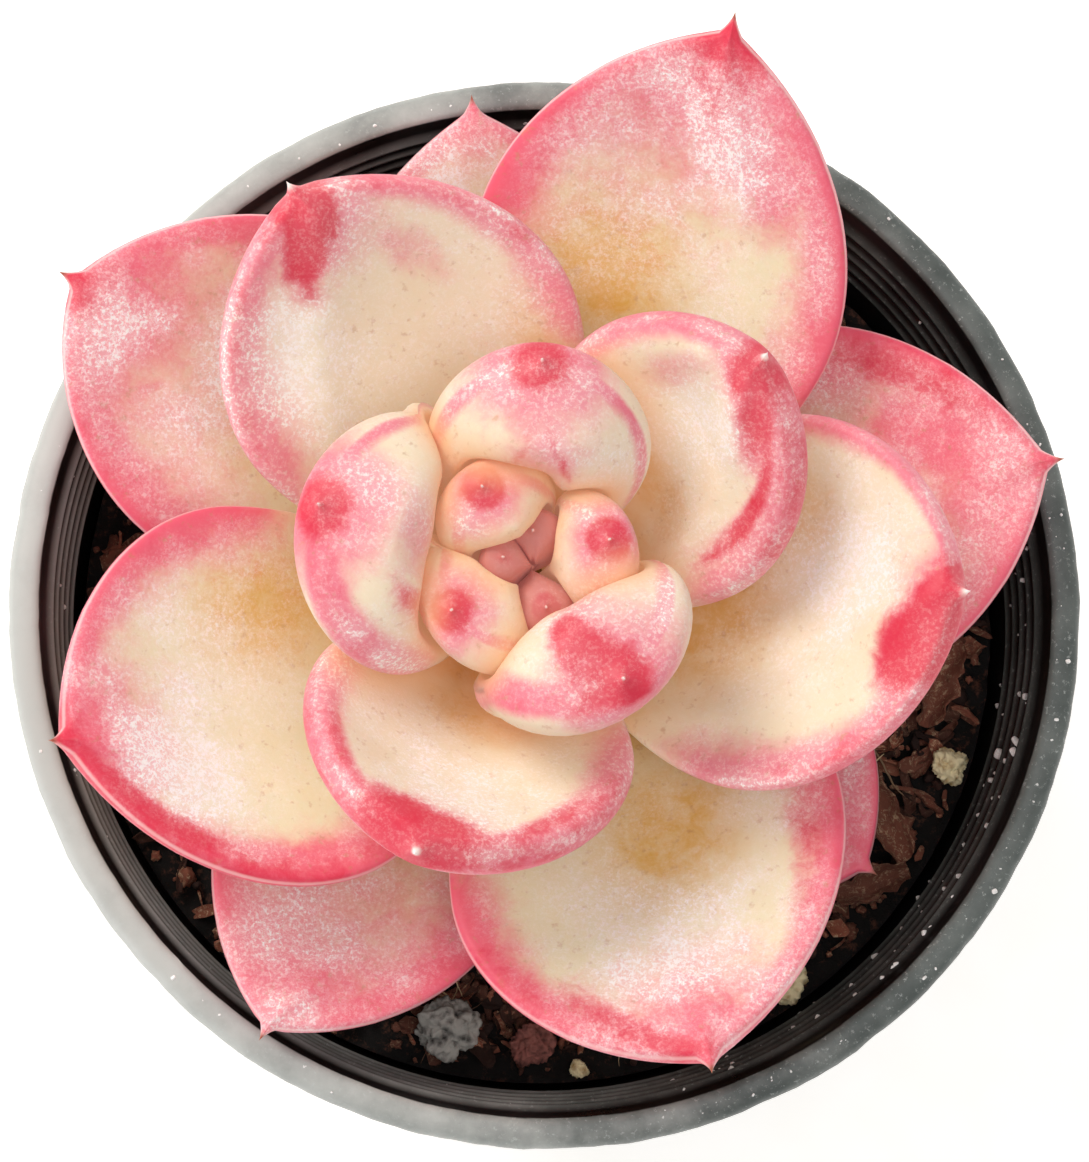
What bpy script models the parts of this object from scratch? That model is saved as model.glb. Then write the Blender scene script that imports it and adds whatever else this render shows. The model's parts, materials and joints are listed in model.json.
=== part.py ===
"""Potted succulent: a rosette of thick pointed leaves on a short stem, in a round plastic nursery pot.

Everything is in metres, +Z up. The origin is the centre of the pot's underside, on the pot's axis.
The leaves follow one spiral up the stem. Each one is a loft of fleshy sections along a rising midrib,
and where it would run into the leaves above it, it settles under them, as the real ones press flat.
"""

import math

import bmesh
import bpy
from mathutils import Vector, noise
from mathutils.bvhtree import BVHTree

MM = 0.001

# Pot
POT_RIM_R = 45.0 * MM      # outside of the lip
POT_H = 76.0 * MM
POT_FOOT_R = 33.0 * MM     # outside of the foot
POT_WALL = 1.1 * MM
POT_FLOOR = 1.6 * MM
LIP_W = 2.8 * MM           # how wide the lip is, seen from above
LIP_H = 5.0 * MM           # how far the lip's skirt hangs down
RIB_COUNT = 5              # steps round the inside of the wall, under the lip
RIB_PITCH = 2.2 * MM
RIB_DEEP = 0.3 * MM
HOLE_COUNT = 8             # drain holes round the floor
HOLE_R = 3.0 * MM
HOLE_CIRCLE_R = 24.0 * MM
TURNED_STEPS = 72

# Soil
SOIL_BELOW_RIM = 16.0 * MM
SOIL_ROUGH = 1.3 * MM      # height of its lumps
SOIL_LUMPS = (9.0 * MM, 4.0 * MM)  # how far apart its large and small lumps are
SOIL_PRESSED = 1.0 * MM    # how far the soil stays under a leaf that lies on it
SOIL_RINGS = 9
SOIL_STEPS = 48

# Clearance that every resting or touching pair keeps
GAP = 0.3 * MM

# Stem: a short column, off the pot's centre, rooted in the soil
STEM_AT = (-2.2 * MM, 1.4 * MM)
STEM_ROOT = 12.0 * MM      # how deep the stub goes into the soil
STEM_R = 4.4 * MM
STEM_TOP_R = 0.5 * MM

# Leaves
LEAF_BELOW_RIM = 13.0 * MM  # where the lowest leaf joins the stem
LEAF_PITCH = 1.0 * MM      # how much higher each next leaf joins
LEAF_MESH = (10, 6)        # rows along an open leaf, columns across each of its faces
BUD_MESH = (13, 8)         # the same for the tight leaves round the heart
BUD_FROM = 16              # the first of those, counted from the lowest leaf
NECK = 0.24                # width of a leaf where it joins the stem, against its full width
WIDEST_AT = 0.58           # where a leaf is widest, along its length
POINT_FROM = 0.96          # where the blade ends and only its sharp point goes on
MARGIN_LIFT = 0.9 * MM     # how far the margins curl up
FATTEST_AT = 0.55
SOFTNESS = 0.85            # how much of its upper flesh a leaf gives up before it is pushed aside

# name, way it faces, turn of its tip, length, width, rise at the stem, rise at the tip,
# flesh above its middle, flesh below, how full it stays to the tip, bluntness of the tip,
# most it wraps round the stem to each side.
# Angles in degrees, sizes in mm, from the lowest leaf to the heart.
LEAVES = [
    ("leaf_low_1", 131, 0, 32, 24, 0, 12, 1.3, 1.9, 3.2, 0.80, 60),
    ("leaf_low_2", 270, 0, 29, 23, 0, 12, 1.3, 1.9, 3.2, 0.80, 60),
    ("leaf_low_3", 46, 0, 32, 24, 0, 12, 1.3, 1.9, 3.2, 0.80, 60),
    ("leaf_low_4", 184, 0, 31, 25, 1, 12, 1.3, 1.9, 3.2, 0.80, 60),
    ("leaf_outer_1", 322, 0, 34.5, 29, 3, 18, 1.4, 2.0, 3.2, 0.80, 60),
    ("leaf_outer_2", 96, 0, 39.5, 29, 6, 30, 1.4, 2.0, 3.2, 0.95, 60),
    ("leaf_outer_3", 240, 0, 41, 29, 8, 26, 1.4, 2.1, 3.2, 0.80, 60),
    ("leaf_outer_4", 17, -4, 44.5, 37, 12, 30, 1.5, 2.1, 3.2, 0.85, 60),
    ("leaf_outer_5", 141, 6, 45, 36, 12, 32, 1.5, 2.1, 3.2, 0.75, 60),
    ("leaf_large_1", 298, -8, 43.5, 43, 15, 38, 1.6, 2.2, 3.2, 0.80, 60),
    ("leaf_large_2", 65, 5, 50, 37, 17, 38, 1.6, 2.2, 3.2, 0.85, 60),
    ("leaf_large_3", 208, -8, 42.5, 42, 18, 40, 1.6, 2.2, 3.2, 0.80, 60),
    ("leaf_mid_1", 352, 4.5, 39.5, 41, 24, 52, 1.9, 2.4, 3.6, 0.60, 60),
    ("leaf_mid_2", 118, 5, 40, 38, 24, 46, 1.8, 2.4, 3.2, 0.75, 64),
    ("leaf_mid_3", 251, -3, 31.5, 39, 32, 62, 2.6, 2.6, 4.0, 0.62, 68),
    ("leaf_mid_4", 36, 6, 31, 33, 32, 60, 3.0, 2.6, 4.0, 0.62, 60),
    ("leaf_inner_1", 172, -6, 26, 31, 46, 72, 7.5, 3.0, 5.0, 0.55, 64),
    ("leaf_inner_2", 305, 1, 23.5, 30, 54, 89, 7.0, 3.1, 5.0, 0.50, 72),
    ("leaf_inner_3", 85, 3, 23.5, 26, 47, 71, 7.5, 3.1, 5.0, 0.55, 62),
    ("leaf_bud_1", 228, -18, 16.5, 21, 64, 87, 5.5, 2.6, 5.5, 0.50, 74),
    ("leaf_bud_2", 5, 12, 16, 18, 67, 89, 4.4, 2.6, 5.5, 0.50, 68),
    ("leaf_bud_3", 121, 4, 16, 16.5, 62, 86, 4.6, 2.6, 5.5, 0.50, 60),
    ("leaf_heart_1", 275, 14, 11, 9.0, 74, 92, 3.2, 2.0, 5.5, 0.50, 62),
    ("leaf_heart_2", 76, 14, 10.6, 9.0, 78, 94, 3.2, 2.0, 5.5, 0.50, 60),
    ("leaf_heart_3", 175, -8, 10, 7.8, 78, 94, 3.0, 1.8, 5.5, 0.50, 56),
]

# name, way from the pot's centre, gap left to the wall, size across, flatness, shape seed
STONES = [
    ("pumice_large", 304, 0.0, 6.0, 0.75, 11),
    ("pumice_small", 341, 0.1, 3.9, 0.80, 12),
    ("pumice_chip", 275, 0.1, 2.0, 0.60, 13),
    ("grey_lump", 257, 0.4, 6.6, 0.80, 14),
    ("lava_lump", 269, 1.0, 4.6, 0.70, 15),
]

# name, way from the pot's centre, gap left to the wall, length, width, turn about the upright
BARK = [
    ("bark_chip_1", 352, 1.0, 7.0, 3.2, 70),
    ("bark_chip_2", 331, 2.0, 8.0, 3.4, 118),
    ("bark_chip_3", 322, 0.2, 6.0, 2.8, 20),
    ("bark_chip_4", 311, 4.6, 6.5, 3.0, 75),
    ("bark_chip_5", 226, 0.8, 6.0, 3.0, 140),
    ("bark_chip_6", 30, 0.5, 6.0, 2.6, 110),
]
BARK_THICK = 1.1 * MM
BARK_CURL = (1.6 * MM, 0.6 * MM)  # how far its long edges and its ends curl up
STONE_KNOBS = 2.2          # knobs across a stone
STONE_UNEVEN = 0.28        # how far they stand out, against its size

SOIL_BLACK = (0.045, 0.026, 0.018)
BARK_BROWN = (0.12, 0.055, 0.035)
STONE_COLOURS = {"pumice": (0.72, 0.62, 0.42), "grey": (0.20, 0.20, 0.19), "lava": (0.24, 0.10, 0.08)}
LEAF_CREAM = (0.88, 0.60, 0.42)
LEAF_PINK = (0.82, 0.27, 0.33)

for old in list(bpy.data.objects):
    bpy.data.objects.remove(old)

plant = bpy.data.collections.new("potted_succulent")
cutters = bpy.data.collections.new("cutters")
for group in (plant, cutters):
    bpy.context.scene.collection.children.link(group)


def material(name, colour, roughness, metallic=0.0):
    made = bpy.data.materials.new(name)
    made.use_nodes = True
    shader = made.node_tree.nodes["Principled BSDF"]
    shader.inputs["Base Color"].default_value = (*colour, 1.0)
    shader.inputs["Roughness"].default_value = roughness
    shader.inputs["Metallic"].default_value = metallic
    return made


def add_object(name, mesh, finish, group=plant):
    """A named object with its own material, shaded smooth up to a sharp corner."""
    if finish:
        mesh.materials.append(material(name, *finish))
    mesh.shade_smooth()
    mesh.set_sharp_from_angle(angle=math.radians(40))
    made = bpy.data.objects.new(name, mesh)
    group.objects.link(made)
    if group is cutters:
        made.hide_render = True
        made.display_type = "WIRE"
    return made


def turned(name, profile, finish):
    """A profile of (radius, height) turned about the Z axis."""
    mesh = bpy.data.meshes.new(name)
    edges = [(i, i + 1) for i in range(len(profile) - 1)]
    mesh.from_pydata([(r, 0.0, z) for r, z in profile], edges, [])
    made = add_object(name, mesh, finish)
    screw = made.modifiers.new("turn", "SCREW")
    screw.steps = screw.render_steps = TURNED_STEPS
    screw.use_merge_vertices = True
    screw.merge_threshold = 0.00001
    screw.use_smooth_shade = True
    return made


def cut(target, cutter):
    joint = target.modifiers.new("cut", "BOOLEAN")
    joint.object = cutter
    joint.solver = "EXACT"


def cylinder(name, radius, low, high, at, group=cutters, steps=24):
    bm = bmesh.new()
    bmesh.ops.create_cone(bm, cap_ends=True, segments=steps, radius1=radius, radius2=radius, depth=high - low)
    bmesh.ops.translate(bm, verts=bm.verts, vec=(at[0], at[1], (low + high) / 2))
    mesh = bpy.data.meshes.new(name)
    bm.to_mesh(mesh)
    bm.free()
    return add_object(name, mesh, None, group)


# Pot ---------------------------------------------------------------------------------------------

SOIL_TOP = POT_H - SOIL_BELOW_RIM
LEAF_LOW = POT_H - LEAF_BELOW_RIM


def wall_outer(z):
    """Radius of the plain tapered wall's outside at a height."""
    top = POT_RIM_R - LIP_W + POT_WALL
    return POT_FOOT_R + (top - POT_FOOT_R) * z / POT_H


def wall_inner(z):
    """Radius of the plain wall's inside at a height, which is where the ribs stand out from."""
    return wall_outer(z) - POT_WALL


def pot_profile():
    """The half section: floor, inside wall with its ribs, rolled lip, outside wall, underside."""
    inside = [(0.0, POT_FLOOR), (wall_inner(POT_FLOOR), POT_FLOOR)]
    ribs_from = POT_H - LIP_H * 0.5 - RIB_COUNT * RIB_PITCH
    for rib in range(RIB_COUNT):
        z = ribs_from + rib * RIB_PITCH
        inside += [(wall_inner(z), z), (wall_inner(z) - RIB_DEEP, z + RIB_PITCH * 0.75)]
    inner_edge = POT_RIM_R - LIP_W
    lip = [
        (inner_edge, POT_H - 1.0 * MM),
        (inner_edge + 0.35 * MM, POT_H - 0.2 * MM),
        (inner_edge + 1.0 * MM, POT_H),
        (POT_RIM_R - 0.9 * MM, POT_H - 0.15 * MM),
        (POT_RIM_R - 0.25 * MM, POT_H - 0.6 * MM),
        (POT_RIM_R, POT_H - 1.4 * MM),
        (POT_RIM_R - 0.3 * MM, POT_H - LIP_H),
        (wall_outer(POT_H - LIP_H), POT_H - LIP_H),
    ]
    return inside + lip + [(wall_outer(1.0 * MM), 1.0 * MM), (POT_FOOT_R - 0.8 * MM, 0.0), (0.0, 0.0)]


pot = turned("nursery_pot", pot_profile(), ((0.022, 0.026, 0.030), 0.42))
for hole in range(HOLE_COUNT):
    turn = 2 * math.pi * (hole + 0.5) / HOLE_COUNT
    at = (HOLE_CIRCLE_R * math.cos(turn), HOLE_CIRCLE_R * math.sin(turn))
    cut(pot, cylinder(f"drain_hole_{hole + 1}", HOLE_R, -1 * MM, POT_FLOOR + 1 * MM, at))


# Stem --------------------------------------------------------------------------------------------

LEAF_TOP = LEAF_LOW + LEAF_PITCH * (len(LEAVES) - 1)
STEM_FOOT = SOIL_TOP - STEM_ROOT


def stem_radius(z):
    """The stem is full under the lowest leaf and thins to the growing point."""
    share = min(max((z - LEAF_LOW) / (LEAF_TOP - LEAF_LOW), 0.0), 1.0)
    return STEM_R + (STEM_TOP_R - STEM_R) * share ** 1.2


stem_profile = [(0.0, LEAF_TOP + 0.6 * MM)]
for step in range(9):
    z = LEAF_TOP + (LEAF_LOW - LEAF_TOP) * step / 8
    stem_profile.append((stem_radius(z), z))
stem_profile += [
    (STEM_R, SOIL_TOP), (STEM_R * 0.8, STEM_FOOT + 1 * MM), (STEM_R * 0.5, STEM_FOOT), (0.0, STEM_FOOT),
]
stem = turned("stem", stem_profile, ((0.55, 0.42, 0.25), 0.6))
stem.modifiers["turn"].steps = stem.modifiers["turn"].render_steps = 24
stem.location = (*STEM_AT, 0.0)


# Leaves ------------------------------------------------------------------------------------------

class Leaf:
    """One leaf: a midrib that rises from the stem, with a fleshy section across it at each row."""

    def __init__(self, order, row):
        self.name, facing, tip_turn, length, width, rise, tip_rise = row[:7]
        above, below, self.full, self.blunt, wrap = row[7:]
        self.facing, self.tip_turn = math.radians(facing), math.radians(tip_turn)
        self.length, self.width = length * MM, width * MM
        self.above, self.below = above * MM, below * MM
        self.rise, self.tip_rise = math.radians(rise), math.radians(tip_rise)
        self.wrap = math.radians(wrap)
        self.mesh, self.easing = (BUD_MESH, 1) if order >= BUD_FROM else (LEAF_MESH, 4)
        z = LEAF_LOW + LEAF_PITCH * order
        r = stem_radius(z) + GAP + self.flesh(0.0)[0] * math.sin(self.rise)
        self.line = [(r, z, self.rise)]
        steps = 120
        for step in range(steps):
            slope = self.slope((step + 0.5) / steps)
            r += math.cos(slope) * self.length / steps
            z += math.sin(slope) * self.length / steps
            self.line.append((r, z, self.slope((step + 1) / steps)))

    def slope(self, along):
        return self.rise + (self.tip_rise - self.rise) * along ** 1.3

    def midrib(self, along):
        """Distance from the stem's axis, height and slope at a share of the length."""
        spot = along * (len(self.line) - 1)
        low = min(int(spot), len(self.line) - 2)
        part = spot - low
        return [a + (b - a) * part for a, b in zip(self.line[low], self.line[low + 1])]

    def outline(self, along):
        """Half width over the full half width: a neck, a broad blade and a drawn-out point."""
        blade = 0.0
        if along < WIDEST_AT:
            blade = NECK + (1 - NECK) * math.sin(math.pi / 2 * along / WIDEST_AT) ** 1.1
        elif along < POINT_FROM:
            x = (along - WIDEST_AT) / (POINT_FROM - WIDEST_AT)
            blade = (1 - x ** 1.9) ** self.blunt
        point = 0.24 * ((1 - along) / 0.12) ** 1.5 if along > 0.85 else 0.0
        return (blade ** 6 + point ** 6) ** (1 / 6)

    def flesh(self, along):
        """How thick the leaf is above its middle surface, and below it."""
        grown = math.sin(math.pi / 2 * min(along / FATTEST_AT, 1.0))
        full = 1.0
        if along > FATTEST_AT:
            full = (1 - ((along - FATTEST_AT) / (1 - FATTEST_AT)) ** self.full) ** 0.5
        limit = 0.45 * self.width * self.outline(along) + 0.05 * MM
        return (
            min(self.above * (0.25 + 0.75 * grown) * full, limit),
            min(self.below * (0.6 + 0.4 * grown) * full, limit),
        )

    def spot(self, along, across, lift):
        """A point of the leaf: along it, across it from -1 to 1, and lifted off its middle surface."""
        r, z, slope = self.midrib(along)
        half = self.width / 2 * self.outline(along)
        swing = self.wrap * math.tanh(half / max(r, 1.0 * MM) / self.wrap)
        turn = self.facing + self.tip_turn * along ** 2 + across * swing
        r -= lift * math.sin(slope)
        z += lift * math.cos(slope)
        return Vector((STEM_AT[0] + r * math.cos(turn), STEM_AT[1] + r * math.sin(turn), z))

    def curl(self, along, across):
        return MARGIN_LIFT * abs(across) ** 2.5 * self.outline(along)


def section(column, columns):
    """Place across and share of the thickness, round half a section from one margin to the other."""
    turn = math.pi * column / columns
    across = math.copysign(abs(math.cos(turn)) ** 0.85, math.cos(turn))
    return across, max(math.sin(turn), 0.0) ** 0.7


def settle(leaf, rows, columns, above, room):
    """How far each spot of a leaf's upper face gives way to lie under the leaves already made."""
    reach = 9 * MM

    def need(along, place):
        across, share = section(place, columns)
        top = share * leaf.flesh(along)[0] + leaf.curl(along, across)
        start = leaf.spot(along, across, -reach)
        way = (leaf.spot(along, across, 0.0) - start).normalized()
        found = [tree.ray_cast(start, way, reach + top + room)[3] for tree in above]
        return max([reach + top + room - hit for hit in found if hit is not None], default=0.0)

    def around(values, place):
        """A place and the places halfway to its neighbours."""
        low, high = values[max(place - 1, 0)], values[min(place + 1, len(values) - 1)]
        return (values[place] + low) / 2, values[place], (values[place] + high) / 2

    give = []
    for row in range(len(rows)):
        line = []
        for column in range(columns + 1):
            spots = [(a, c) for a in around(rows, row) for c in around(range(columns + 1), column)]
            line.append(max(need(a, c) for a, c in spots))
        give.append(line)

    def near(r, c):
        spots = [(r, c), (r - 1, c), (r + 1, c), (r, c - 1), (r, c + 1)]
        return [give[i][j] for i, j in spots if 0 <= i < len(rows) and 0 <= j <= columns]

    for _ in range(leaf.easing):
        eased = [[sum(near(r, c)) / len(near(r, c)) for c in range(columns + 1)] for r in range(len(rows))]
        give = [[max(a, b) for a, b in zip(x, y)] for x, y in zip(give, eased)]
    return give


def leaf_mesh(leaf, above, room):
    """The leaf's mesh, and its search tree, with this much room kept to the leaves above it.

    Where the upper face gives way the leaf first gets thinner, and only then moves as a whole."""
    steps, columns = leaf.mesh
    rows = [0.9 * i / (steps - 4) for i in range(steps - 3)] + [0.94, 0.965, 0.985]
    give = settle(leaf, rows, columns, above, room)
    bm = bmesh.new()
    loops = []
    for along, line in zip(rows, give):
        above_flesh, below_flesh = leaf.flesh(along)
        loop = []
        for column in range(2 * columns):
            mirror = column if column <= columns else 2 * columns - column
            across, share = section(mirror, columns)
            if column < columns:
                lift = share * above_flesh - line[mirror]
            else:
                lift = -share * below_flesh - max(line[mirror] - SOFTNESS * share * above_flesh, 0.0)
            loop.append(bm.verts.new(leaf.spot(along, across, lift + leaf.curl(along, across))))
        loops.append(loop)
    tip = bm.verts.new(leaf.spot(1.0, 0.0, -min(give[-1])))
    for row, after in zip(loops, loops[1:]):
        for i in range(2 * columns):
            j = (i + 1) % (2 * columns)
            bm.faces.new((row[i], row[j], after[j], after[i]))
    for i in range(2 * columns):
        bm.faces.new((loops[-1][i], loops[-1][(i + 1) % (2 * columns)], tip))
    bm.faces.new(list(reversed(loops[0])))
    bmesh.ops.triangulate(bm, faces=bm.faces)
    mesh = bpy.data.meshes.new(leaf.name)
    bm.to_mesh(mesh)
    tree = BVHTree.FromBMesh(bm)
    bm.free()
    return mesh, tree


made_above = []
for order in reversed(range(len(LEAVES))):
    leaf = Leaf(order, LEAVES[order])
    for extra in range(12):
        mesh, tree = leaf_mesh(leaf, made_above, GAP * (1.6 + extra))
        if not any(tree.overlap(other) for other in made_above):
            break
    made_above.append(tree)
    blush = order / len(LEAVES)
    colour = tuple(a + (b - a) * blush for a, b in zip(LEAF_PINK, LEAF_CREAM))
    add_object(leaf.name, mesh, (colour, 0.5))


# Soil --------------------------------------------------------------------------------------------

def soil_height(x, y):
    """Lumps of two sizes, pressed down where a low leaf lies on them."""
    large, small = [noise.noise(Vector((x, y, apart)) / apart) for apart in SOIL_LUMPS]
    height = SOIL_TOP + SOIL_ROUGH * (large + 0.5 * small)
    below = Vector((x, y, POT_FLOOR))
    for tree in made_above:
        found = tree.ray_cast(below, Vector((0.0, 0.0, 1.0)), height + SOIL_PRESSED - POT_FLOOR)[0]
        if found is not None:
            height = min(height, found.z - SOIL_PRESSED)
    return height


def build_soil():
    bm = bmesh.new()
    rings = []
    edge_r = wall_inner(SOIL_TOP) - RIB_DEEP - GAP
    foot_r = wall_inner(POT_FLOOR) - GAP - 0.2 * MM
    for ring in range(1, SOIL_RINGS + 1):
        r = edge_r * ring / SOIL_RINGS
        row = []
        for step in range(SOIL_STEPS):
            turn = 2 * math.pi * step / SOIL_STEPS
            x, y = r * math.cos(turn), r * math.sin(turn)
            row.append(bm.verts.new((x, y, soil_height(x, y))))
        rings.append(row)
    foot = []
    for step in range(SOIL_STEPS):
        turn = 2 * math.pi * step / SOIL_STEPS
        foot.append(bm.verts.new((foot_r * math.cos(turn), foot_r * math.sin(turn), POT_FLOOR + GAP)))
    rings.append(foot)
    centre = bm.verts.new((0.0, 0.0, soil_height(0.0, 0.0)))
    for step in range(SOIL_STEPS):
        after = (step + 1) % SOIL_STEPS
        bm.faces.new((centre, rings[0][step], rings[0][after]))
        for inner, outer in zip(rings, rings[1:]):
            bm.faces.new((inner[step], outer[step], outer[after], inner[after]))
    bm.faces.new(list(reversed(foot)))
    mesh = bpy.data.meshes.new("soil")
    bm.to_mesh(mesh)
    bm.free()
    return add_object("soil", mesh, (SOIL_BLACK, 0.95))


soil = build_soil()
cut(soil, cylinder("stem_hole", STEM_R + GAP, STEM_FOOT - GAP, SOIL_TOP + 5 * MM, STEM_AT))


# Stones and bark ---------------------------------------------------------------------------------

def beside_wall(way, clear, reach):
    """Where something of this reach lies, this far clear of the wall."""
    turn = math.radians(way)
    distance = wall_inner(SOIL_TOP) - RIB_DEEP - GAP - reach - clear * MM
    return distance * math.cos(turn), distance * math.sin(turn)


def highest_soil(x, y, reach):
    """The highest soil under something of this reach, so that it rests on the soil with the gap."""
    spots = [(0.0, 0.0)]
    for step in range(16):
        turn = 2 * math.pi * step / 16
        spots += [(share * reach * math.cos(turn), share * reach * math.sin(turn)) for share in (0.5, 1.0)]
    return max(soil_height(x + dx, y + dy) for dx, dy in spots)


for name, way, clear, size, flat, seed in STONES:
    bm = bmesh.new()
    bmesh.ops.create_icosphere(bm, subdivisions=2, radius=0.5)
    shift = Vector((seed, seed * 2, seed * 3))
    for vert in bm.verts:
        vert.co *= 1 - STONE_UNEVEN / 2 + STONE_UNEVEN * noise.noise(vert.co * STONE_KNOBS + shift)
        vert.co.z *= flat
    x, y = beside_wall(way, clear, size * MM / 2)
    low = min(v.co.z for v in bm.verts) * size * MM
    at = Vector((x, y, highest_soil(x, y, size * MM / 2) - low + GAP))
    for vert in bm.verts:
        vert.co = vert.co * size * MM + at
    mesh = bpy.data.meshes.new(name)
    bm.to_mesh(mesh)
    bm.free()
    add_object(name, mesh, (STONE_COLOURS[name.split("_")[0]], 0.9))

for name, way, clear, length, width, turn in BARK:
    bm = bmesh.new()
    bmesh.ops.create_cube(bm, size=1.0)
    bmesh.ops.subdivide_edges(bm, edges=bm.edges, cuts=2, use_grid_fill=True)
    angle = math.radians(turn)
    x, y = beside_wall(way, clear, length * MM / 2)
    at = Vector((x, y, highest_soil(x, y, length * MM / 2) + GAP + BARK_THICK / 2))
    for vert in bm.verts:
        u, v, w = vert.co
        narrow = 1.0 - 0.9 * u * u - 0.5 * abs(v) * abs(u)
        px, py = u * length * MM, v * width * MM * narrow
        bend = BARK_CURL[0] * (2 * v) ** 2 + BARK_CURL[1] * (2 * u) ** 2
        vert.co = at + Vector((
            px * math.cos(angle) - py * math.sin(angle),
            px * math.sin(angle) + py * math.cos(angle),
            w * BARK_THICK + bend,
        ))
    mesh = bpy.data.meshes.new(name)
    bm.to_mesh(mesh)
    bm.free()
    add_object(name, mesh, (BARK_BROWN, 0.85))
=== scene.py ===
"""Potted succulent: a rosette of thick, pointed, blushed leaves in a round black nursery pot.

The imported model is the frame. Each of its solids is stood for by a finer piece in the same place.
"""

import json
import math
import random

import bmesh
import bpy
import numpy as np
from mathutils import Matrix, Vector, noise
from mathutils.bvhtree import BVHTree

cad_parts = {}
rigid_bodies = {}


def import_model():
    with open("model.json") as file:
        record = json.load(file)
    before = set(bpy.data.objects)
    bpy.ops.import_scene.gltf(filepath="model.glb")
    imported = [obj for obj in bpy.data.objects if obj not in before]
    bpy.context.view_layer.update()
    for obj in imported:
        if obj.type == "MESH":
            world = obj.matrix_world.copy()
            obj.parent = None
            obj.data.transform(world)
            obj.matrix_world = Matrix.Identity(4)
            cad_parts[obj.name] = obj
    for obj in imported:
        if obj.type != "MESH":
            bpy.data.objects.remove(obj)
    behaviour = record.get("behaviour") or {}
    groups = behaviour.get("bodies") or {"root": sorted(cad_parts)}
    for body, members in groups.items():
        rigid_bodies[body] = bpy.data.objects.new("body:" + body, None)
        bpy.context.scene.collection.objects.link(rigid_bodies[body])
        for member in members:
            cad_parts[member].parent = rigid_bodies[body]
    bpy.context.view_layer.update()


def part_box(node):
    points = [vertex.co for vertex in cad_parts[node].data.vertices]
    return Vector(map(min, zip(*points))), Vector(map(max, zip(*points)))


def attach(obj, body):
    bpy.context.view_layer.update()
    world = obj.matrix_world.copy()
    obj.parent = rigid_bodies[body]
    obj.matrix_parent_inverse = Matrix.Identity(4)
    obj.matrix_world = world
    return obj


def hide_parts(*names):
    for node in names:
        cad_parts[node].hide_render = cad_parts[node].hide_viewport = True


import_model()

MM = 0.001


# Studio ------------------------------------------------------------------------------------------
# A sheet of white card under the pot, an even pale sky and three large soft lights: the strongest
# high up at the back left, a broad one overhead, and a weak one low down at the front left.

def linear(code):
    """An sRGB hex colour as linear RGBA."""
    parts = [int(code[i:i + 2], 16) / 255 for i in (1, 3, 5)]
    return (*[p / 12.92 if p <= 0.04045 else ((p + 0.055) / 1.055) ** 2.4 for p in parts], 1.0)


def set_inputs(tree, node, inputs):
    """Gives a node's inputs links, values, or colours written as sRGB hex."""
    for place, value in dict(inputs).items():
        if isinstance(value, bpy.types.NodeSocket):
            tree.links.new(value, node.inputs[place])
        else:
            node.inputs[place].default_value = linear(value) if isinstance(value, str) else value


def add_node(tree, kind, inputs=(), output=0, **settings):
    """Adds a shader node with its properties and inputs, and returns one of its outputs."""
    made = tree.nodes.new("ShaderNode" + kind)
    for name, value in settings.items():
        setattr(made, name, value)
    set_inputs(tree, made, inputs)
    return made.outputs[output]


def new_material(name):
    """A material with only a Principled shader, and its tree."""
    made = bpy.data.materials.new(name)
    made.use_nodes = True
    return made, made.node_tree, made.node_tree.nodes["Principled BSDF"]


def mesh_of(bm, name):
    """Turns the finished form into a mesh."""
    made = bpy.data.meshes.new(name)
    bm.to_mesh(made)
    bm.free()
    return made


def link_object(name, mesh, *materials):
    """Puts a smooth object of that mesh and those materials in the scene."""
    mesh.shade_smooth()
    for finish in materials:
        mesh.materials.append(finish)
    made = bpy.data.objects.new(name, mesh)
    bpy.context.scene.collection.objects.link(made)
    return made


def stand_for(piece, slot, *nodes):
    """The piece rides on the pot's body and stands for those nodes. The slot is not used."""
    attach(piece, "root")
    if nodes:
        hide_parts(*nodes)
    return piece


CARD_HALF = 1.5
card, tree, shader = new_material("white_card")   # matt paper, with a trace of grain
grain = add_node(tree, "TexNoise", {"Scale": 1 / (2 * MM), "Detail": 3.0})
paper = add_node(tree, "Mix", {0: grain, 6: "#fbfaf7", 7: "#ffffff"}, 2, data_type="RGBA")
set_inputs(tree, shader, {
    "Base Color": paper, "Roughness": 0.9, "Emission Color": paper, "Emission Strength": 0.42,
})
bm = bmesh.new()
bmesh.ops.create_grid(bm, x_segments=8, y_segments=8, size=CARD_HALF)
floor = link_object("floor_card", mesh_of(bm, "floor_card"), card)

world = bpy.data.worlds.new("studio")
bpy.context.scene.world = world
world.use_nodes = True
set_inputs(world.node_tree, world.node_tree.nodes["Background"], {"Color": "#fffaf4", "Strength": 0.52})

LIT_SPOT = Vector((0, 0, 0.08))   # the rosette, which every light points at


def soft_light(name, place, size, power, colour):
    """A round soft light of that width in metres and power in watts."""
    lamp = bpy.data.lights.new(name, "AREA")
    lamp.shape = "DISK"
    lamp.size = size
    lamp.energy = power
    lamp.color = linear(colour)[:3]
    made = bpy.data.objects.new(name, lamp)
    made.location = place
    made.rotation_euler = (LIT_SPOT - made.location).to_track_quat("-Z", "Y").to_euler()
    bpy.context.scene.collection.objects.link(made)


soft_light("key_light", Vector((-0.42, 0.40, 0.62)), 0.45, 3.8, "#fff8f0")
soft_light("fill_light", Vector((0.10, -0.15, 0.9)), 0.60, 1.7, "#ffffff")
soft_light("side_light", Vector((-0.60, -0.35, 0.12)), 0.30, 1.0, "#ffffff")

bpy.context.scene.view_settings.view_transform = "Standard"

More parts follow.
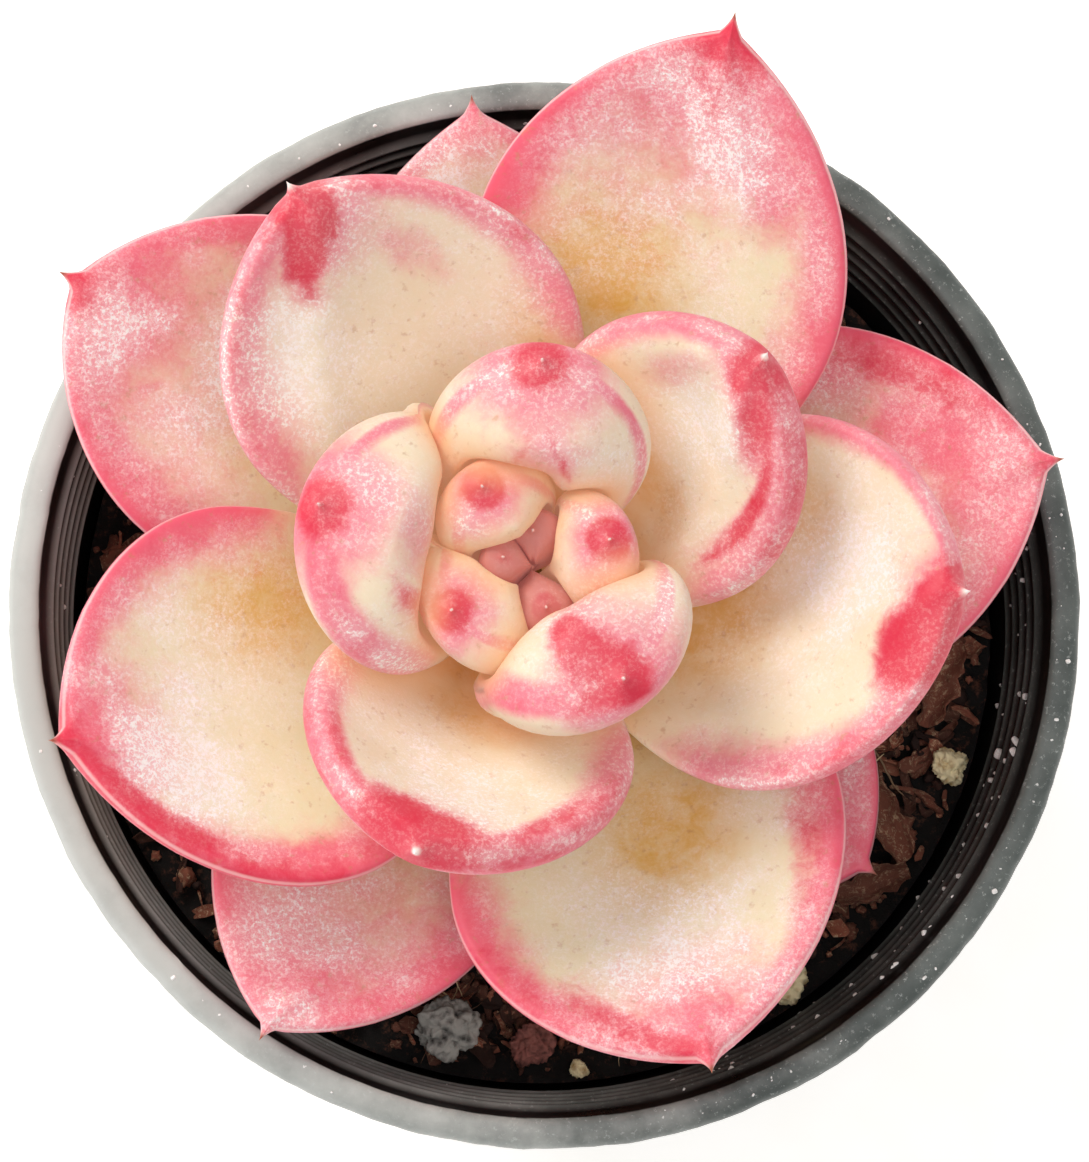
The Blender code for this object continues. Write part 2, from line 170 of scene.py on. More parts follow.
AIM = Vector((0.0, 0.0, 0.076))
DISTANCE = 0.40
FOCAL_MM, SENSOR_MM = 158.4, 36
SHIFT = (-0.0032, 0.0248)
TURN, ELEVATION = math.radians(-25), math.radians(83.5)
lens = bpy.data.cameras.new("camera")
camera = bpy.data.objects.new("camera", lens)
bpy.context.scene.collection.objects.link(camera)
bpy.context.scene.camera = camera
back = Vector((
    math.sin(TURN) * math.cos(ELEVATION), -math.cos(TURN) * math.cos(ELEVATION), math.sin(ELEVATION)
))
side = Vector((0, 1, 0)).cross(back).normalized()
turned = Matrix((side, back.cross(side), back)).transposed()
camera.matrix_world = Matrix.Translation(AIM + back * DISTANCE) @ turned.to_4x4()
lens.sensor_fit = "HORIZONTAL"
lens.sensor_width = SENSOR_MM
lens.lens = FOCAL_MM
lens.shift_x, lens.shift_y = SHIFT


# Pot ---------------------------------------------------------------------------------------------
# A thin nursery pot, injection moulded in black polypropylene: a tapered wall with turned steps
# inside under a rolled lip, and drain holes in the floor. It has been watered and knocked about.

POT_RIM_R = 45.0 * MM
POT_H = 76.0 * MM
POT_FOOT_R = 33.0 * MM
POT_WALL = 1.1 * MM
POT_FLOOR = 1.6 * MM
LIP_W = 2.8 * MM
LIP_H = 5.0 * MM
RIB_COUNT = 5
RIB_PITCH = 2.2 * MM
RIB_DEEP = 0.3 * MM
# The grey on the rib crests is a painted highlight.
WORN_WALL, CREST_HIGHLIGHT, WORN_LIP = 0.35, 0.55, 1.0   # how grey the outside, the ribs and the lip are
# points up one rib: share of its depth, share of the pitch, and how grey, which on the crest is a painted
# highlight
RIB_SHAPE = (
    (0.0, 0.0, 0.0), (0.9, 0.58, 0.0), (1.0, 0.75, 0.0), (0.94, 0.79, CREST_HIGHLIGHT), (0.55, 0.83, CREST_HIGHLIGHT),
)
HOLE_COUNT = 8
HOLE_R = 3.0 * MM
HOLE_CIRCLE_R = 24.0 * MM
DRILL_LONG = 6.0 * MM
DRILL_SIDES = 32
POT_STEPS = 288
LIP_RAGGED = 0.22 * MM
LIP_WAVES = (9, 31)
SHARP_FROM = 50


def wall_outer(z):
    top = POT_RIM_R - LIP_W + POT_WALL
    return POT_FOOT_R + (top - POT_FOOT_R) * z / POT_H


def wall_inner(z):
    return wall_outer(z) - POT_WALL


def pot_profile():
    """The half section, up the inside, over the lip and down the outside, with how grey each point is
    from wear, and on the rib crests as a painted highlight.
    """
    floor_r = wall_inner(POT_FLOOR) - 1.5 * MM
    foot_round = POT_FLOOR + 1.5 * MM
    section = [(r, POT_FLOOR, 0.0) for r in (0.0, 8 * MM, floor_r)]
    section.append((wall_inner(foot_round), foot_round, 0.0))
    ribs_from = POT_H - LIP_H * 0.5 - RIB_COUNT * RIB_PITCH
    for rib in range(RIB_COUNT):
        z = ribs_from + rib * RIB_PITCH
        section += [
            (wall_inner(z) - RIB_DEEP * deep, z + RIB_PITCH * up, wear_and_sheen) for deep, up, wear_and_sheen in RIB_SHAPE
        ]
    edge = POT_RIM_R - LIP_W
    lip = [
        (edge, POT_H - 1.0 * MM), (edge + 0.1 * MM, POT_H - 0.5 * MM),
        (edge + 0.35 * MM, POT_H - 0.2 * MM), (edge + 0.65 * MM, POT_H - 0.04 * MM),
        (edge + 1.0 * MM, POT_H),
        (edge + 1.45 * MM, POT_H - 0.05 * MM), (POT_RIM_R - 0.9 * MM, POT_H - 0.15 * MM),
        (POT_RIM_R - 0.5 * MM, POT_H - 0.34 * MM), (POT_RIM_R - 0.25 * MM, POT_H - 0.6 * MM),
        (POT_RIM_R - 0.07 * MM, POT_H - 0.95 * MM), (POT_RIM_R, POT_H - 1.4 * MM),
        (POT_RIM_R - 0.3 * MM, POT_H - LIP_H + 0.2 * MM), (POT_RIM_R - 0.5 * MM, POT_H - LIP_H),
        (wall_outer(POT_H - LIP_H), POT_H - LIP_H),
    ]
    outside = [(wall_outer(z * MM), z * MM) for z in (70.8, 60, 50, 40, 30, 20, 10, 1.6)]
    foot = [(POT_FOOT_R - 0.25 * MM, 0.5 * MM), (POT_FOOT_R - 0.8 * MM, 0.0), (0.0, 0.0)]
    section += [(r, z, 0.0 if step < 2 else WORN_LIP) for step, (r, z) in enumerate(lip)]
    return section + [(r, z, WORN_WALL) for r, z in outside + foot]


def pot_plastic():
    """Moulded polypropylene: glossy black inside, the rib crests painted grey as highlights, greyed and
    dulled by handling and hard water outside. The lip is the greyest, painted paler on one side as
    glare, with fine pale specks painted as glints."""
    made, tree, shader = new_material("moulded_polypropylene")
    place = add_node(tree, "TexCoord", output="Object")
    zone = add_node(tree, "Attribute", output="Fac", attribute_name="zone")
    lip = add_node(tree, "MapRange", {0: zone, 1: 0.2, 2: 0.8})
    scuffed, fine = [
        add_node(tree, "TexNoise", {
            "Vector": place, "Scale": 1 / (size * MM), "Detail": detail, "Roughness": rough,
        })
        for size, detail, rough in ((7, 6.0, 0.65), (0.5, 4.0, 0.8))
    ]
    film = add_node(tree, "MapRange", {0: scuffed, 1: 0.38, 2: 0.72})
    across = add_node(tree, "SeparateXYZ", {0: place}, "X")
    across = add_node(tree, "Math", {0: film, 1: -26 * MM, 2: across}, operation="MULTIPLY_ADD")
    # painted glare: the grey parts grow paler towards negative x, as if lit from that side
    painted_glare = add_node(tree, "MapRange", {0: across, 1: 22 * MM, 2: -56 * MM}, interpolation_type="SMOOTHSTEP")
    grey_and_tan_highlight = add_node(tree, "Mix", {0: film, 6: "#4c5453", 7: "#6f7674"}, 2, data_type="RGBA")
    grey = add_node(tree, "Mix", {0: painted_glare, 6: grey_and_tan_highlight, 7: "#bcbfbd"}, 2, data_type="RGBA")
    black = add_node(tree, "Mix", {0: film, 6: "#060708", 7: "#16181a"}, 2, data_type="RGBA")
    body = add_node(tree, "Mix", {0: lip, 6: black, 7: grey}, 2, data_type="RGBA")
    # fine pale specks on the lip and the rib crests: painted glints
    painted_glints = add_node(tree, "MapRange", {0: fine, 1: 0.58, 2: 0.68})
    painted_glints = add_node(tree, "Math", {0: painted_glints, 1: lip}, operation="MULTIPLY")
    painted_glints = add_node(tree, "Math", {0: painted_glints, 1: 0.6}, operation="MULTIPLY")
    rough = add_node(tree, "MapRange", {0: scuffed, 1: 0.3, 2: 0.8, 3: 0.24, 4: 0.5})
    set_inputs(tree, shader, {
        "Base Color": add_node(tree, "Mix", {0: painted_glints, 6: body, 7: "#b9c0bf"}, 2, data_type="RGBA"),
        "Roughness": add_node(tree, "Mix", {0: lip, 2: rough, 3: 0.46}, data_type="FLOAT"),
        "Normal": add_node(tree, "Bump", {"Height": fine, "Strength": 0.25, "Distance": 0.05 * MM}),
        "IOR": 1.49,
    })
    return made


def bridge(bm, rings):
    """Faces from each ring of corners to the next. A ring may be one corner, at the middle."""
    for low, high in zip(rings, rings[1:]):
        count = max(len(low), len(high))
        for step in range(count):
            after = (step + 1) % count
            corners = [ring[turn % len(ring)] for ring, turn in (
                (low, step), (low, after), (high, after), (high, step),
            )]
            bm.faces.new(dict.fromkeys(corners))


bm = bmesh.new()
zone = bm.verts.layers.float.new("zone")
rings = []
for r, z, wear_and_sheen in pot_profile():
    ring = []
    for step in range(POT_STEPS if r > 0.0 else 1):
        turn = 2 * math.pi * step / POT_STEPS
        ragged = 0.0
        if wear_and_sheen == WORN_LIP:
            spot = Vector((math.cos(turn), math.sin(turn), 0.0))
            broad, close = [noise.noise(spot * waves) for waves in LIP_WAVES]
            ragged = LIP_RAGGED * (0.5 + broad * 0.6 + close * 0.4)
        vert = bm.verts.new(((r - ragged) * math.cos(turn), (r - ragged) * math.sin(turn), z))
        vert[zone] = wear_and_sheen
        ring.append(vert)
    rings.append(ring)
bridge(bm, rings)
bmesh.ops.recalc_face_normals(bm, faces=bm.faces)
pot = link_object("moulded_pot", mesh_of(bm, "pot"), pot_plastic())
for hole in range(HOLE_COUNT):
    turn = 2 * math.pi * (hole + 0.5) / HOLE_COUNT
    bm = bmesh.new()
    bmesh.ops.create_cone(
        bm, cap_ends=True, segments=DRILL_SIDES, radius1=HOLE_R, radius2=HOLE_R, depth=DRILL_LONG,
        matrix=Matrix.Translation((HOLE_CIRCLE_R * math.cos(turn), HOLE_CIRCLE_R * math.sin(turn), 1 * MM)),
    )
    cut = pot.modifiers.new("drain_hole", "BOOLEAN")
    cut.object = link_object("drill", mesh_of(bm, "drill"))
    cut.solver = "EXACT"
bpy.context.view_layer.update()
drilled = bpy.data.meshes.new_from_object(pot.evaluated_get(bpy.context.evaluated_depsgraph_get()))
pot.modifiers.clear()
pot.data = drilled
drilled.set_sharp_from_angle(angle=math.radians(SHARP_FROM))
for drill in [o for o in bpy.data.objects if o.name.startswith("drill")]:
    bpy.data.objects.remove(drill)
stand_for(pot, "pot_plastic", "nursery_pot")


# Leaves ------------------------------------------------------------------------------------------
# Fleshy leaves on one spiral up a short stem, each a soft wedge with a round margin and a drawn-out
# point. The skin is cream at the base, blushed pink to crimson at margin and tip, and powdered white;
# painted sheen, margin highlights and warm shade in the hollows and creases lie on it.

SOIL_TOP = POT_H - 16.0 * MM
STEM_AT = (-2.2 * MM, 1.4 * MM)
STEM_R = 4.4 * MM
STEM_TOP_R = 0.5 * MM
LEAF_LOW = POT_H - 13.0 * MM
LEAF_PITCH = 1.0 * MM
NECK = 0.24
WIDEST_AT = 0.58
POINT_FROM = 0.96
MARGIN_LIFT = 0.9 * MM
FATTEST_AT = 0.55
SOFTNESS = 0.85
GAP = 0.3 * MM
BUD_FROM = 16   # plump leaves of the bud, counted from the lowest leaf
RIM_FROM = 12   # leaves whose margin is thick enough to be frosted
MIDRIB_STEPS = 120
LEAF_ROWS = 56
LEAF_FACE = 28
SEARCH_REACH = 9 * MM   # how far under and over a leaf others are looked for
ROOM_TRIES = 12
ROOM_STEP = 0.5         # share of the gap that each try adds

# name, way it faces, turn of its tip, length, width, rise at the stem, rise at the tip,
# flesh above its middle, flesh below, how full it stays to the tip, bluntness of the tip,
# most it wraps round the stem to each side.
# Angles in degrees, sizes in mm, from the lowest leaf to the heart.
LEAVES = [
    ("leaf_low_1", 131, 0, 32, 24, 0, 12, 1.3, 1.9, 3.2, 0.80, 60),
    ("leaf_low_2", 270, 0, 29, 23, 0, 12, 1.3, 1.9, 3.2, 0.80, 60),
    ("leaf_low_3", 46, 0, 32, 24, 0, 12, 1.3, 1.9, 3.2, 0.80, 60),
    ("leaf_low_4", 184, 0, 31, 25, 1, 12, 1.3, 1.9, 3.2, 0.80, 60),
    ("leaf_outer_1", 322, 0, 34.5, 29, 3, 18, 1.4, 2.0, 3.2, 0.80, 60),
    ("leaf_outer_2", 96, 0, 39.5, 29, 6, 30, 1.4, 2.0, 3.2, 0.95, 60),
    ("leaf_outer_3", 240, 0, 41, 29, 8, 26, 1.4, 2.1, 3.2, 0.80, 60),
    ("leaf_outer_4", 17, -4, 44.5, 37, 12, 30, 1.5, 2.1, 3.2, 0.85, 60),
    ("leaf_outer_5", 141, 6, 45, 36, 12, 32, 1.5, 2.1, 3.2, 0.75, 60),
    ("leaf_large_1", 298, -8, 43.5, 43, 15, 38, 1.6, 2.2, 3.2, 0.80, 60),
    ("leaf_large_2", 65, 5, 50, 37, 17, 38, 1.6, 2.2, 3.2, 0.85, 60),
    ("leaf_large_3", 208, -8, 42.5, 42, 18, 40, 1.6, 2.2, 3.2, 0.80, 60),
    ("leaf_mid_1", 352, 4.5, 39.5, 41, 24, 52, 1.9, 2.4, 3.6, 0.60, 60),
    ("leaf_mid_2", 118, 5, 40, 38, 24, 46, 1.8, 2.4, 3.2, 0.75, 64),
    ("leaf_mid_3", 251, -3, 31.5, 39, 32, 62, 2.6, 2.6, 4.0, 0.62, 68),
    ("leaf_mid_4", 36, 6, 31, 33, 32, 60, 3.0, 2.6, 4.0, 0.62, 60),
    ("leaf_inner_1", 172, -6, 26, 31, 46, 72, 7.5, 3.0, 5.0, 0.55, 64),
    ("leaf_inner_2", 305, 1, 23.5, 30, 54, 89, 7.0, 3.1, 5.0, 0.50, 72),
    ("leaf_inner_3", 85, 3, 23.5, 26, 47, 71, 7.5, 3.1, 5.0, 0.55, 62),
    ("leaf_bud_1", 228, -18, 16.5, 21, 64, 87, 5.5, 2.6, 5.5, 0.50, 74),
    ("leaf_bud_2", 5, 12, 16, 18, 67, 89, 4.4, 2.6, 5.5, 0.50, 68),
    ("leaf_bud_3", 121, 4, 16, 16.5, 62, 86, 4.6, 2.6, 5.5, 0.50, 60),
    ("leaf_heart_1", 275, 14, 11, 9.0, 74, 92, 3.2, 2.0, 5.5, 0.50, 62),
    ("leaf_heart_2", 76, 14, 10.6, 9.0, 78, 94, 3.2, 2.0, 5.5, 0.50, 60),
    ("leaf_heart_3", 175, -8, 10, 7.8, 78, 94, 3.0, 1.8, 5.5, 0.50, 56),
]
LEAF_TOP = LEAF_LOW + LEAF_PITCH * (len(LEAVES) - 1)


def stem_radius(z):
    """The stem narrows from the lowest leaf up to the heart."""
    share = min(max((z - LEAF_LOW) / (LEAF_TOP - LEAF_LOW), 0.0), 1.0)
    return STEM_R + (STEM_TOP_R - STEM_R) * share ** 1.2


class Leaf:
    """One leaf: a midrib that rises from the stem, with a fleshy section across it at each row."""

    def __init__(self, order, row):
        self.name, facing, tip_turn, length, width, rise, tip_rise = row[:7]
        above, below, self.full, self.blunt, wrap = row[7:]
        self.facing, self.tip_turn = math.radians(facing), math.radians(tip_turn)
        self.length, self.width = length * MM, width * MM
        self.above, self.below = above * MM, below * MM
        self.rise, self.tip_rise = math.radians(rise), math.radians(tip_rise)
        self.wrap = math.radians(wrap)
        # how many times its dents are eased out, and how long its spine is in mm
        self.easing, self.spine = (6, 0.35) if order >= BUD_FROM else (50, 1.0)
        self.pale_rim = order >= RIM_FROM
        z = LEAF_LOW + LEAF_PITCH * order
        r = stem_radius(z) + GAP + self.flesh(0.0)[0] * math.sin(self.rise)
        self.line = [(r, z, self.rise)]
        for step in range(MIDRIB_STEPS):
            slope = self.slope((step + 0.5) / MIDRIB_STEPS)
            r += math.cos(slope) * self.length / MIDRIB_STEPS
            z += math.sin(slope) * self.length / MIDRIB_STEPS
            self.line.append((r, z, self.slope((step + 1) / MIDRIB_STEPS)))

    def slope(self, along):
        """The leaf rises more steeply towards its tip."""
        return self.rise + (self.tip_rise - self.rise) * along ** 1.3

    def midrib(self, along):
        """Distance from the stem's axis, height and slope at a share of the length."""
        spot = along * (len(self.line) - 1)
        low = min(int(spot), len(self.line) - 2)
        part = spot - low
        return [a + (b - a) * part for a, b in zip(self.line[low], self.line[low + 1])]

    def outline(self, along):
        """Half width over the full half width: a neck, a broad blade and a drawn-out point."""
        blade = 0.0
        if along < WIDEST_AT:
            blade = NECK + (1 - NECK) * math.sin(math.pi / 2 * along / WIDEST_AT) ** 1.1
        elif along < POINT_FROM:
            x = (along - WIDEST_AT) / (POINT_FROM - WIDEST_AT)
            blade = (1 - x ** 1.9) ** self.blunt
        point = 0.24 * ((1 - along) / 0.12) ** 1.5 if along > 0.85 else 0.0
        return (blade ** 6 + point ** 6) ** (1 / 6)

    def flesh(self, along):
        """How thick the leaf is above its middle surface, and below it."""
        grown = math.sin(math.pi / 2 * min(along / FATTEST_AT, 1.0))
        full = 1.0
        if along > FATTEST_AT:
            full = (1 - ((along - FATTEST_AT) / (1 - FATTEST_AT)) ** self.full) ** 0.5
        limit = 0.45 * self.width * self.outline(along) + 0.05 * MM
        return (
            min(self.above * (0.25 + 0.75 * grown) * full, limit),
            min(self.below * (0.6 + 0.4 * grown) * full, limit),
        )

    def spot(self, along, across, lift):
        """A point of the leaf: along it, across it from -1 to 1, and lifted off its middle surface."""
        r, z, slope = self.midrib(along)
        half = self.width / 2 * self.outline(along)
        swing = self.wrap * math.tanh(half / max(r, 1.0 * MM) / self.wrap)
        turn = self.facing + self.tip_turn * along ** 2 + across * swing
        r -= lift * math.sin(slope)
        z += lift * math.cos(slope)
        return Vector((STEM_AT[0] + r * math.cos(turn), STEM_AT[1] + r * math.sin(turn), z))

    def curl(self, along, across):
        """How far the margins turn up."""
        return MARGIN_LIFT * abs(across) ** 2.5 * self.outline(along)


def section(share):
    """Place across, and share of the thickness, at a share of the way from one margin to the other."""
    turn = math.pi * share
    across = math.copysign(abs(math.cos(turn)) ** 0.85, math.cos(turn))
    return across, max(math.sin(turn), 0.0) ** 0.7


def settle(leaf, rows, above, room):
    """How far each spot of a leaf's upper face gives way to lie under the leaves already made."""
    give = np.zeros((len(rows), LEAF_FACE + 1))
    for row, along in enumerate(rows):
        flesh = leaf.flesh(along)[0]
        for column in range(LEAF_FACE + 1):
            across, share = section(column / LEAF_FACE)
            top = share * flesh + leaf.curl(along, across)
            start = leaf.spot(along, across, -SEARCH_REACH)
            way = (leaf.spot(along, across, 0.0) - start).normalized()
            for tree in above:
                found = tree.ray_cast(start, way, SEARCH_REACH + top + room)[3]
                if found is not None:
                    give[row, column] = max(give[row, column], SEARCH_REACH + top + room - found)
    for _ in range(leaf.easing):
        wide = np.pad(give, 1, mode="edge")
        around = wide[:-2, 1:-1] + wide[2:, 1:-1] + wide[1:-1, :-2] + wide[1:-1, 2:]
        give = np.maximum(give, (around + give) / 5)
    return give


def leaf_mesh(leaf, above, room):
    """The fine leaf, and its search tree, with this much room kept to the leaves above it."""
    rows = [1 - (1 - i / LEAF_ROWS) ** 1.4 for i in range(LEAF_ROWS)]
    give = settle(leaf, rows, above, room)
    bm = bmesh.new()
    edge = bm.verts.layers.float.new("edge")
    mucro = bm.verts.layers.float.new("mucro")
    paint = bm.verts.layers.float_color.new("paint")
    loops = []
    point = leaf.spot(1.0, 0.0, -give[-1].min())
    for row, along in enumerate(rows):
        half = leaf.width / 2 * leaf.outline(along)
        margins = [leaf.spot(along, side, leaf.curl(along, side) - give[row, column])
                   for side, column in ((1.0, 0), (-1.0, LEAF_FACE))]
        flesh_above, flesh_below = leaf.flesh(along)
        loop = []
        for column in range(2 * LEAF_FACE):
            mirror = column if column <= LEAF_FACE else 2 * LEAF_FACE - column
            across, fat = section(mirror / LEAF_FACE)
            upper = column < LEAF_FACE
            needed = give[row, mirror]
            if upper:
                lift = fat * flesh_above - needed
            else:
                lift = -fat * flesh_below - max(needed - SOFTNESS * fat * flesh_above, 0.0)
            uneven = relief(leaf, along, across, upper) * fat * ease(1.0 * MM, 0.0, needed)
            lift += leaf.curl(along, across) + uneven
            vert = bm.verts.new(leaf.spot(along, across, lift))
            from_margins = [(vert.co - margin).length / MM for margin in margins]
            from_tip = (vert.co - point).length / MM
            vert[edge] = min(from_margins)
            vert[mucro] = ease(leaf.spine, leaf.spine * 0.4, from_tip)
            vert[paint] = painted(leaf, along, across, half / MM, from_margins, from_tip, upper)
            loop.append(vert)
        loops.append(loop)
    tip = bm.verts.new(point)
    tip[mucro] = 1.0
    tip[paint] = painted(leaf, 1.0, 0.0, 0.0, (0.0, 0.0), 0.0, True)
    bridge(bm, loops + [[tip]])
    bm.faces.new(list(reversed(loops[0])))
    tree = BVHTree.FromBMesh(bm)
    return mesh_of(bm, leaf.name), tree


def ease(low, high, value):
    """0 below low, 1 above high, smooth between; the other way round when low is the larger."""
    x = min(max((value - low) / (high - low), 0.0), 1.0)
    return x * x * (3 - 2 * x)


# Folds where a margin has been bent up in the bud: place across at the base and at the tip, from 1
# at the left margin to -1 at the right one as seen from the stem, and height in mm.
FOLDS = {
    "leaf_mid_2": (0.75, 0.0, 1.3),
    "leaf_mid_4": (-0.70, -0.1, 1.1),
    "leaf_mid_1": (-0.80, 0.0, 0.9),
    "leaf_large_2": (-0.72, 0.0, 0.8),
    "leaf_large_3": (0.75, 0.1, 0.8),
    "leaf_large_1": (-0.75, 0.0, 0.7),
    "leaf_outer_3": (0.60, 0.1, 0.8),
    "leaf_outer_5": (0.70, 0.0, 0.5),
    "leaf_outer_4": (-0.65, 0.0, 0.6),
}
FOLD_WIDE = 3.0 * MM


def relief(leaf, along, across, upper):
    """Soft unevenness of the flesh: broad waves, and a shallow hollow down the upper face."""
    if not upper:
        return 0.0
    wave = noise.noise(Vector((across * 1.6, along * 2.6, leaf.facing * 7)))
    hollow = -0.6 * MM * (1 - across * across) * ease(0.1, 0.4, along) * ease(0.95, 0.7, along)
    if leaf.above > 3 * MM:
        hollow = 0.0
    fold = 0.0
    if leaf.name in FOLDS:
        at_base, at_tip, height = FOLDS[leaf.name]
        off = (across - at_base - (at_tip - at_base) * ease(0.3, 1.0, along)) * leaf.width / 2
        fold = height * MM * math.exp(-abs(off) / FOLD_WIDE) * ease(0.25, 0.5, along) * ease(1.0, 0.9, along)
    return 0.35 * MM * wave * ease(0.0, 0.2, along) * ease(1.0, 0.85, along) + hollow + fold


# How far the blush reaches in from the left margin, the right margin and the tip in mm, as seen from
# the stem, how strong it is all over, then crimson at the left margin, right margin and tip.
BLUSH = {
    **{f"leaf_low_{count}": (6, 6, 12, 0.5, 0.0, 0.0, 0.4) for count in (1, 2, 3, 4)},
    "leaf_outer_1": (9, 9, 16, 0.55, 0.1, 0.1, 0.3),
    "leaf_outer_2": (5, 5, 9, 0.25, 0.0, 0.1, 0.1),
    "leaf_outer_3": (8, 7, 18, 0.45, 0.25, 0.2, 0.3),
    "leaf_outer_4": (11, 8, 22, 0.35, 0.45, 0.2, 0.5),
    "leaf_outer_5": (8, 8, 20, 0.35, 0.3, 0.2, 0.8),
    "leaf_large_1": (9, 9, 19, 0.0, 0.3, 0.45, 0.6),
    "leaf_large_2": (10, 10, 30, 0.0, 0.35, 0.25, 0.9),
    "leaf_large_3": (10, 9, 18, 0.0, 0.6, 0.25, 0.8),
    "leaf_mid_1": (4, 8, 10, 0.0, 0.0, 0.45, 1.1),
    "leaf_mid_2": (9, 6, 14, 0.05, 0.40, 0.4, 1.2),
    "leaf_mid_3": (7, 6, 10, 0.0, 0.5, 0.4, 1.2),
    "leaf_mid_4": (4, 8, 8, 0.0, 0.05, 0.5, 1.3),
    "leaf_inner_1": (4, 0.05, 12, 0.0, 0.35, 0.0, 1.2),
    "leaf_inner_2": (0.05, 3, 11, 0.0, 0.0, 0.3, 1.3),
    "leaf_inner_3": (0.05, 0.05, 12, 0.0, 0.0, 0.0, 1.2),
    **{f"leaf_bud_{count}": (0.05, 0.05, 7.5, 0.0, 0.0, 0.0, 1.5) for count in (1, 2, 3)},
    "leaf_heart_1": (0.05, 0.05, 5, 0.3, 0.0, 0.0, 1.4),
    "leaf_heart_2": (1, 1, 5, 0.5, 0.0, 0.0, 0.3),
    "leaf_heart_3": (1, 1, 5, 0.5, 0.0, 0.0, 0.6),
}

# Single patches: what it is, share of the way along, place across from 1 at the left margin to -1
# at the right one, half length and half width in mm, turn from the midrib in degrees, and strength.
# A patch shows where it is stronger than what is there already. The frost patches are
# white powder and a painted sheen on the ridges; the gold patches are gold and
# painted warm shade in the hollows.
PATCHES = {
    "leaf_large_2": [
        ("gold", 0.52, 0.30, 9, 9, 0, 1.0), ("red", 0.86, 0.0, 5, 2.2, 15, 0.55),
        ("pink", 0.80, -0.45, 7, 5, 0, 0.9), ("red", 0.72, 0.80, 5, 2, 10, 0.4),
        ("frost", 0.76, 0.0, 10, 9, 0, 1.5), ("gold", 0.35, -0.6, 8, 5, 0, 0.7),
    ],
    "leaf_mid_2": [
        ("red", 0.89, 0.22, 5.5, 2.2, -15, 1.0), ("red", 0.94, 0.05, 4, 3, 0, 1.1),
        ("frost", 0.65, 0.5, 9, 7, 0, 1.6), ("pink", 0.75, -0.35, 5, 3, 0, 0.5),
        ("gold", 0.5, -0.8, 6, 5, 0, 0.7),
    ],
    "leaf_mid_1": [
        ("gold", 0.34, 0.0, 8, 12, 0, 1.0), ("gold", 0.58, 0.5, 5, 5, 0, 0.8),
        ("frost", 0.72, 0.1, 7, 9, 0, 1.6), ("red", 0.95, -0.15, 3, 3.5, 0, 1.3),
        ("red", 0.90, -0.45, 3.0, 5.5, 25, 1.2), ("pink", 0.62, -0.95, 8, 3, 0, 0.8),
        ("frost", 0.6, 0.9, 6, 3, 0, 0.6),
    ],
    "leaf_mid_3": [
        ("frost", 0.72, 0.0, 6, 11, 0, 1.8), ("red", 0.94, -0.1, 3, 6, 0, 1.1),
        ("red", 0.85, 0.8, 5, 2.5, 0, 0.6), ("red", 0.86, -0.85, 5, 2.2, 0, 0.55),
        ("gold", 0.4, 0.0, 4, 9, 0, 0.8),
    ],
    "leaf_mid_4": [
        ("red", 0.90, -0.45, 4, 3, 0, 0.8), ("red", 0.72, -0.72, 7, 1.6, 4, 0.8),
        ("red", 0.96, 0.0, 2.4, 2.4, 0, 1.0), ("frost", 0.75, 0.0, 6, 6, 0, 1.5),
        ("gold", 0.45, 0.0, 3, 8, 0, 0.8), ("pink", 0.80, 0.5, 4, 3, 0, 0.5),
    ],
    "leaf_large_3": [
        ("gold", 0.45, -0.5, 9, 8, 0, 0.9), ("red", 0.88, 0.75, 6, 3, -10, 0.8),
        ("frost", 0.78, 0.1, 9, 10, 0, 1.5), ("pink", 0.68, 0.85, 10, 3.5, 0, 0.9),
        ("red", 0.55, 0.92, 5, 2, 0, 0.45),
    ],
    "leaf_large_1": [
        ("gold", 0.5, 0.1, 8, 9, 0, 0.85), ("red", 0.90, -0.65, 7, 2.6, 0, 0.7),
        ("red", 0.70, 0.75, 6, 3, 0, 0.5), ("frost", 0.76, 0.0, 10, 12, 0, 1.6),
        ("pink", 0.93, 0.0, 4, 5, 0, 0.9), ("red", 0.75, -0.9, 6, 2, 0, 0.5),
    ],
    "leaf_outer_5": [
        ("frost", 0.72, 0.0, 12, 10, 0, 1.5), ("red", 0.95, -0.1, 3, 3, 0, 0.6),
        ("gold", 0.5, 0.1, 7, 8, 0, 0.6),
    ],
    "leaf_outer_4": [
        ("red", 0.80, 0.75, 8, 3.5, 0, 0.6), ("frost", 0.8, 0.0, 8, 7, 0, 0.9),
        ("gold", 0.5, 0.2, 8, 7, 0, 0.5), ("pink", 0.78, 0.3, 8, 6, 0, 0.9),
    ],
    "leaf_outer_3": [
        ("frost", 0.8, 0.0, 9, 8, 0, 1.2), ("gold", 0.55, 0.0, 7, 8, 0, 0.5),
        ("red", 0.78, 0.85, 6, 2, 0, 0.4),
    ],
    "leaf_outer_2": [
        ("frost", 0.8, 0.0, 9, 8, 0, 1.6), ("pink", 0.75, 0.7, 5, 3, 0, 0.6),
        ("pink", 0.93, 0.6, 2, 3, 0, 0.6),
    ],
    "leaf_inner_1": [("red", 0.72, 0.75, 4, 2.0, 0, 0.75), ("pink", 0.80, 0.0, 5, 8, 0, 0.55)],
    "leaf_inner_2": [
        ("pink", 0.82, 0.2, 5, 7, 0, 0.6), ("red", 0.93, -0.3, 3, 4, 0, 0.8),
        ("frost", 0.8, -0.5, 4, 5, 0, 1.3),
    ],
    "leaf_inner_3": [
        ("pink", 0.78, 0.0, 6, 8, 0, 0.6), ("red", 0.80, -0.40, 4, 1.0, 30, 0.5),
        ("red", 0.80, 0.40, 4, 1.0, -30, 0.45),
    ],
}


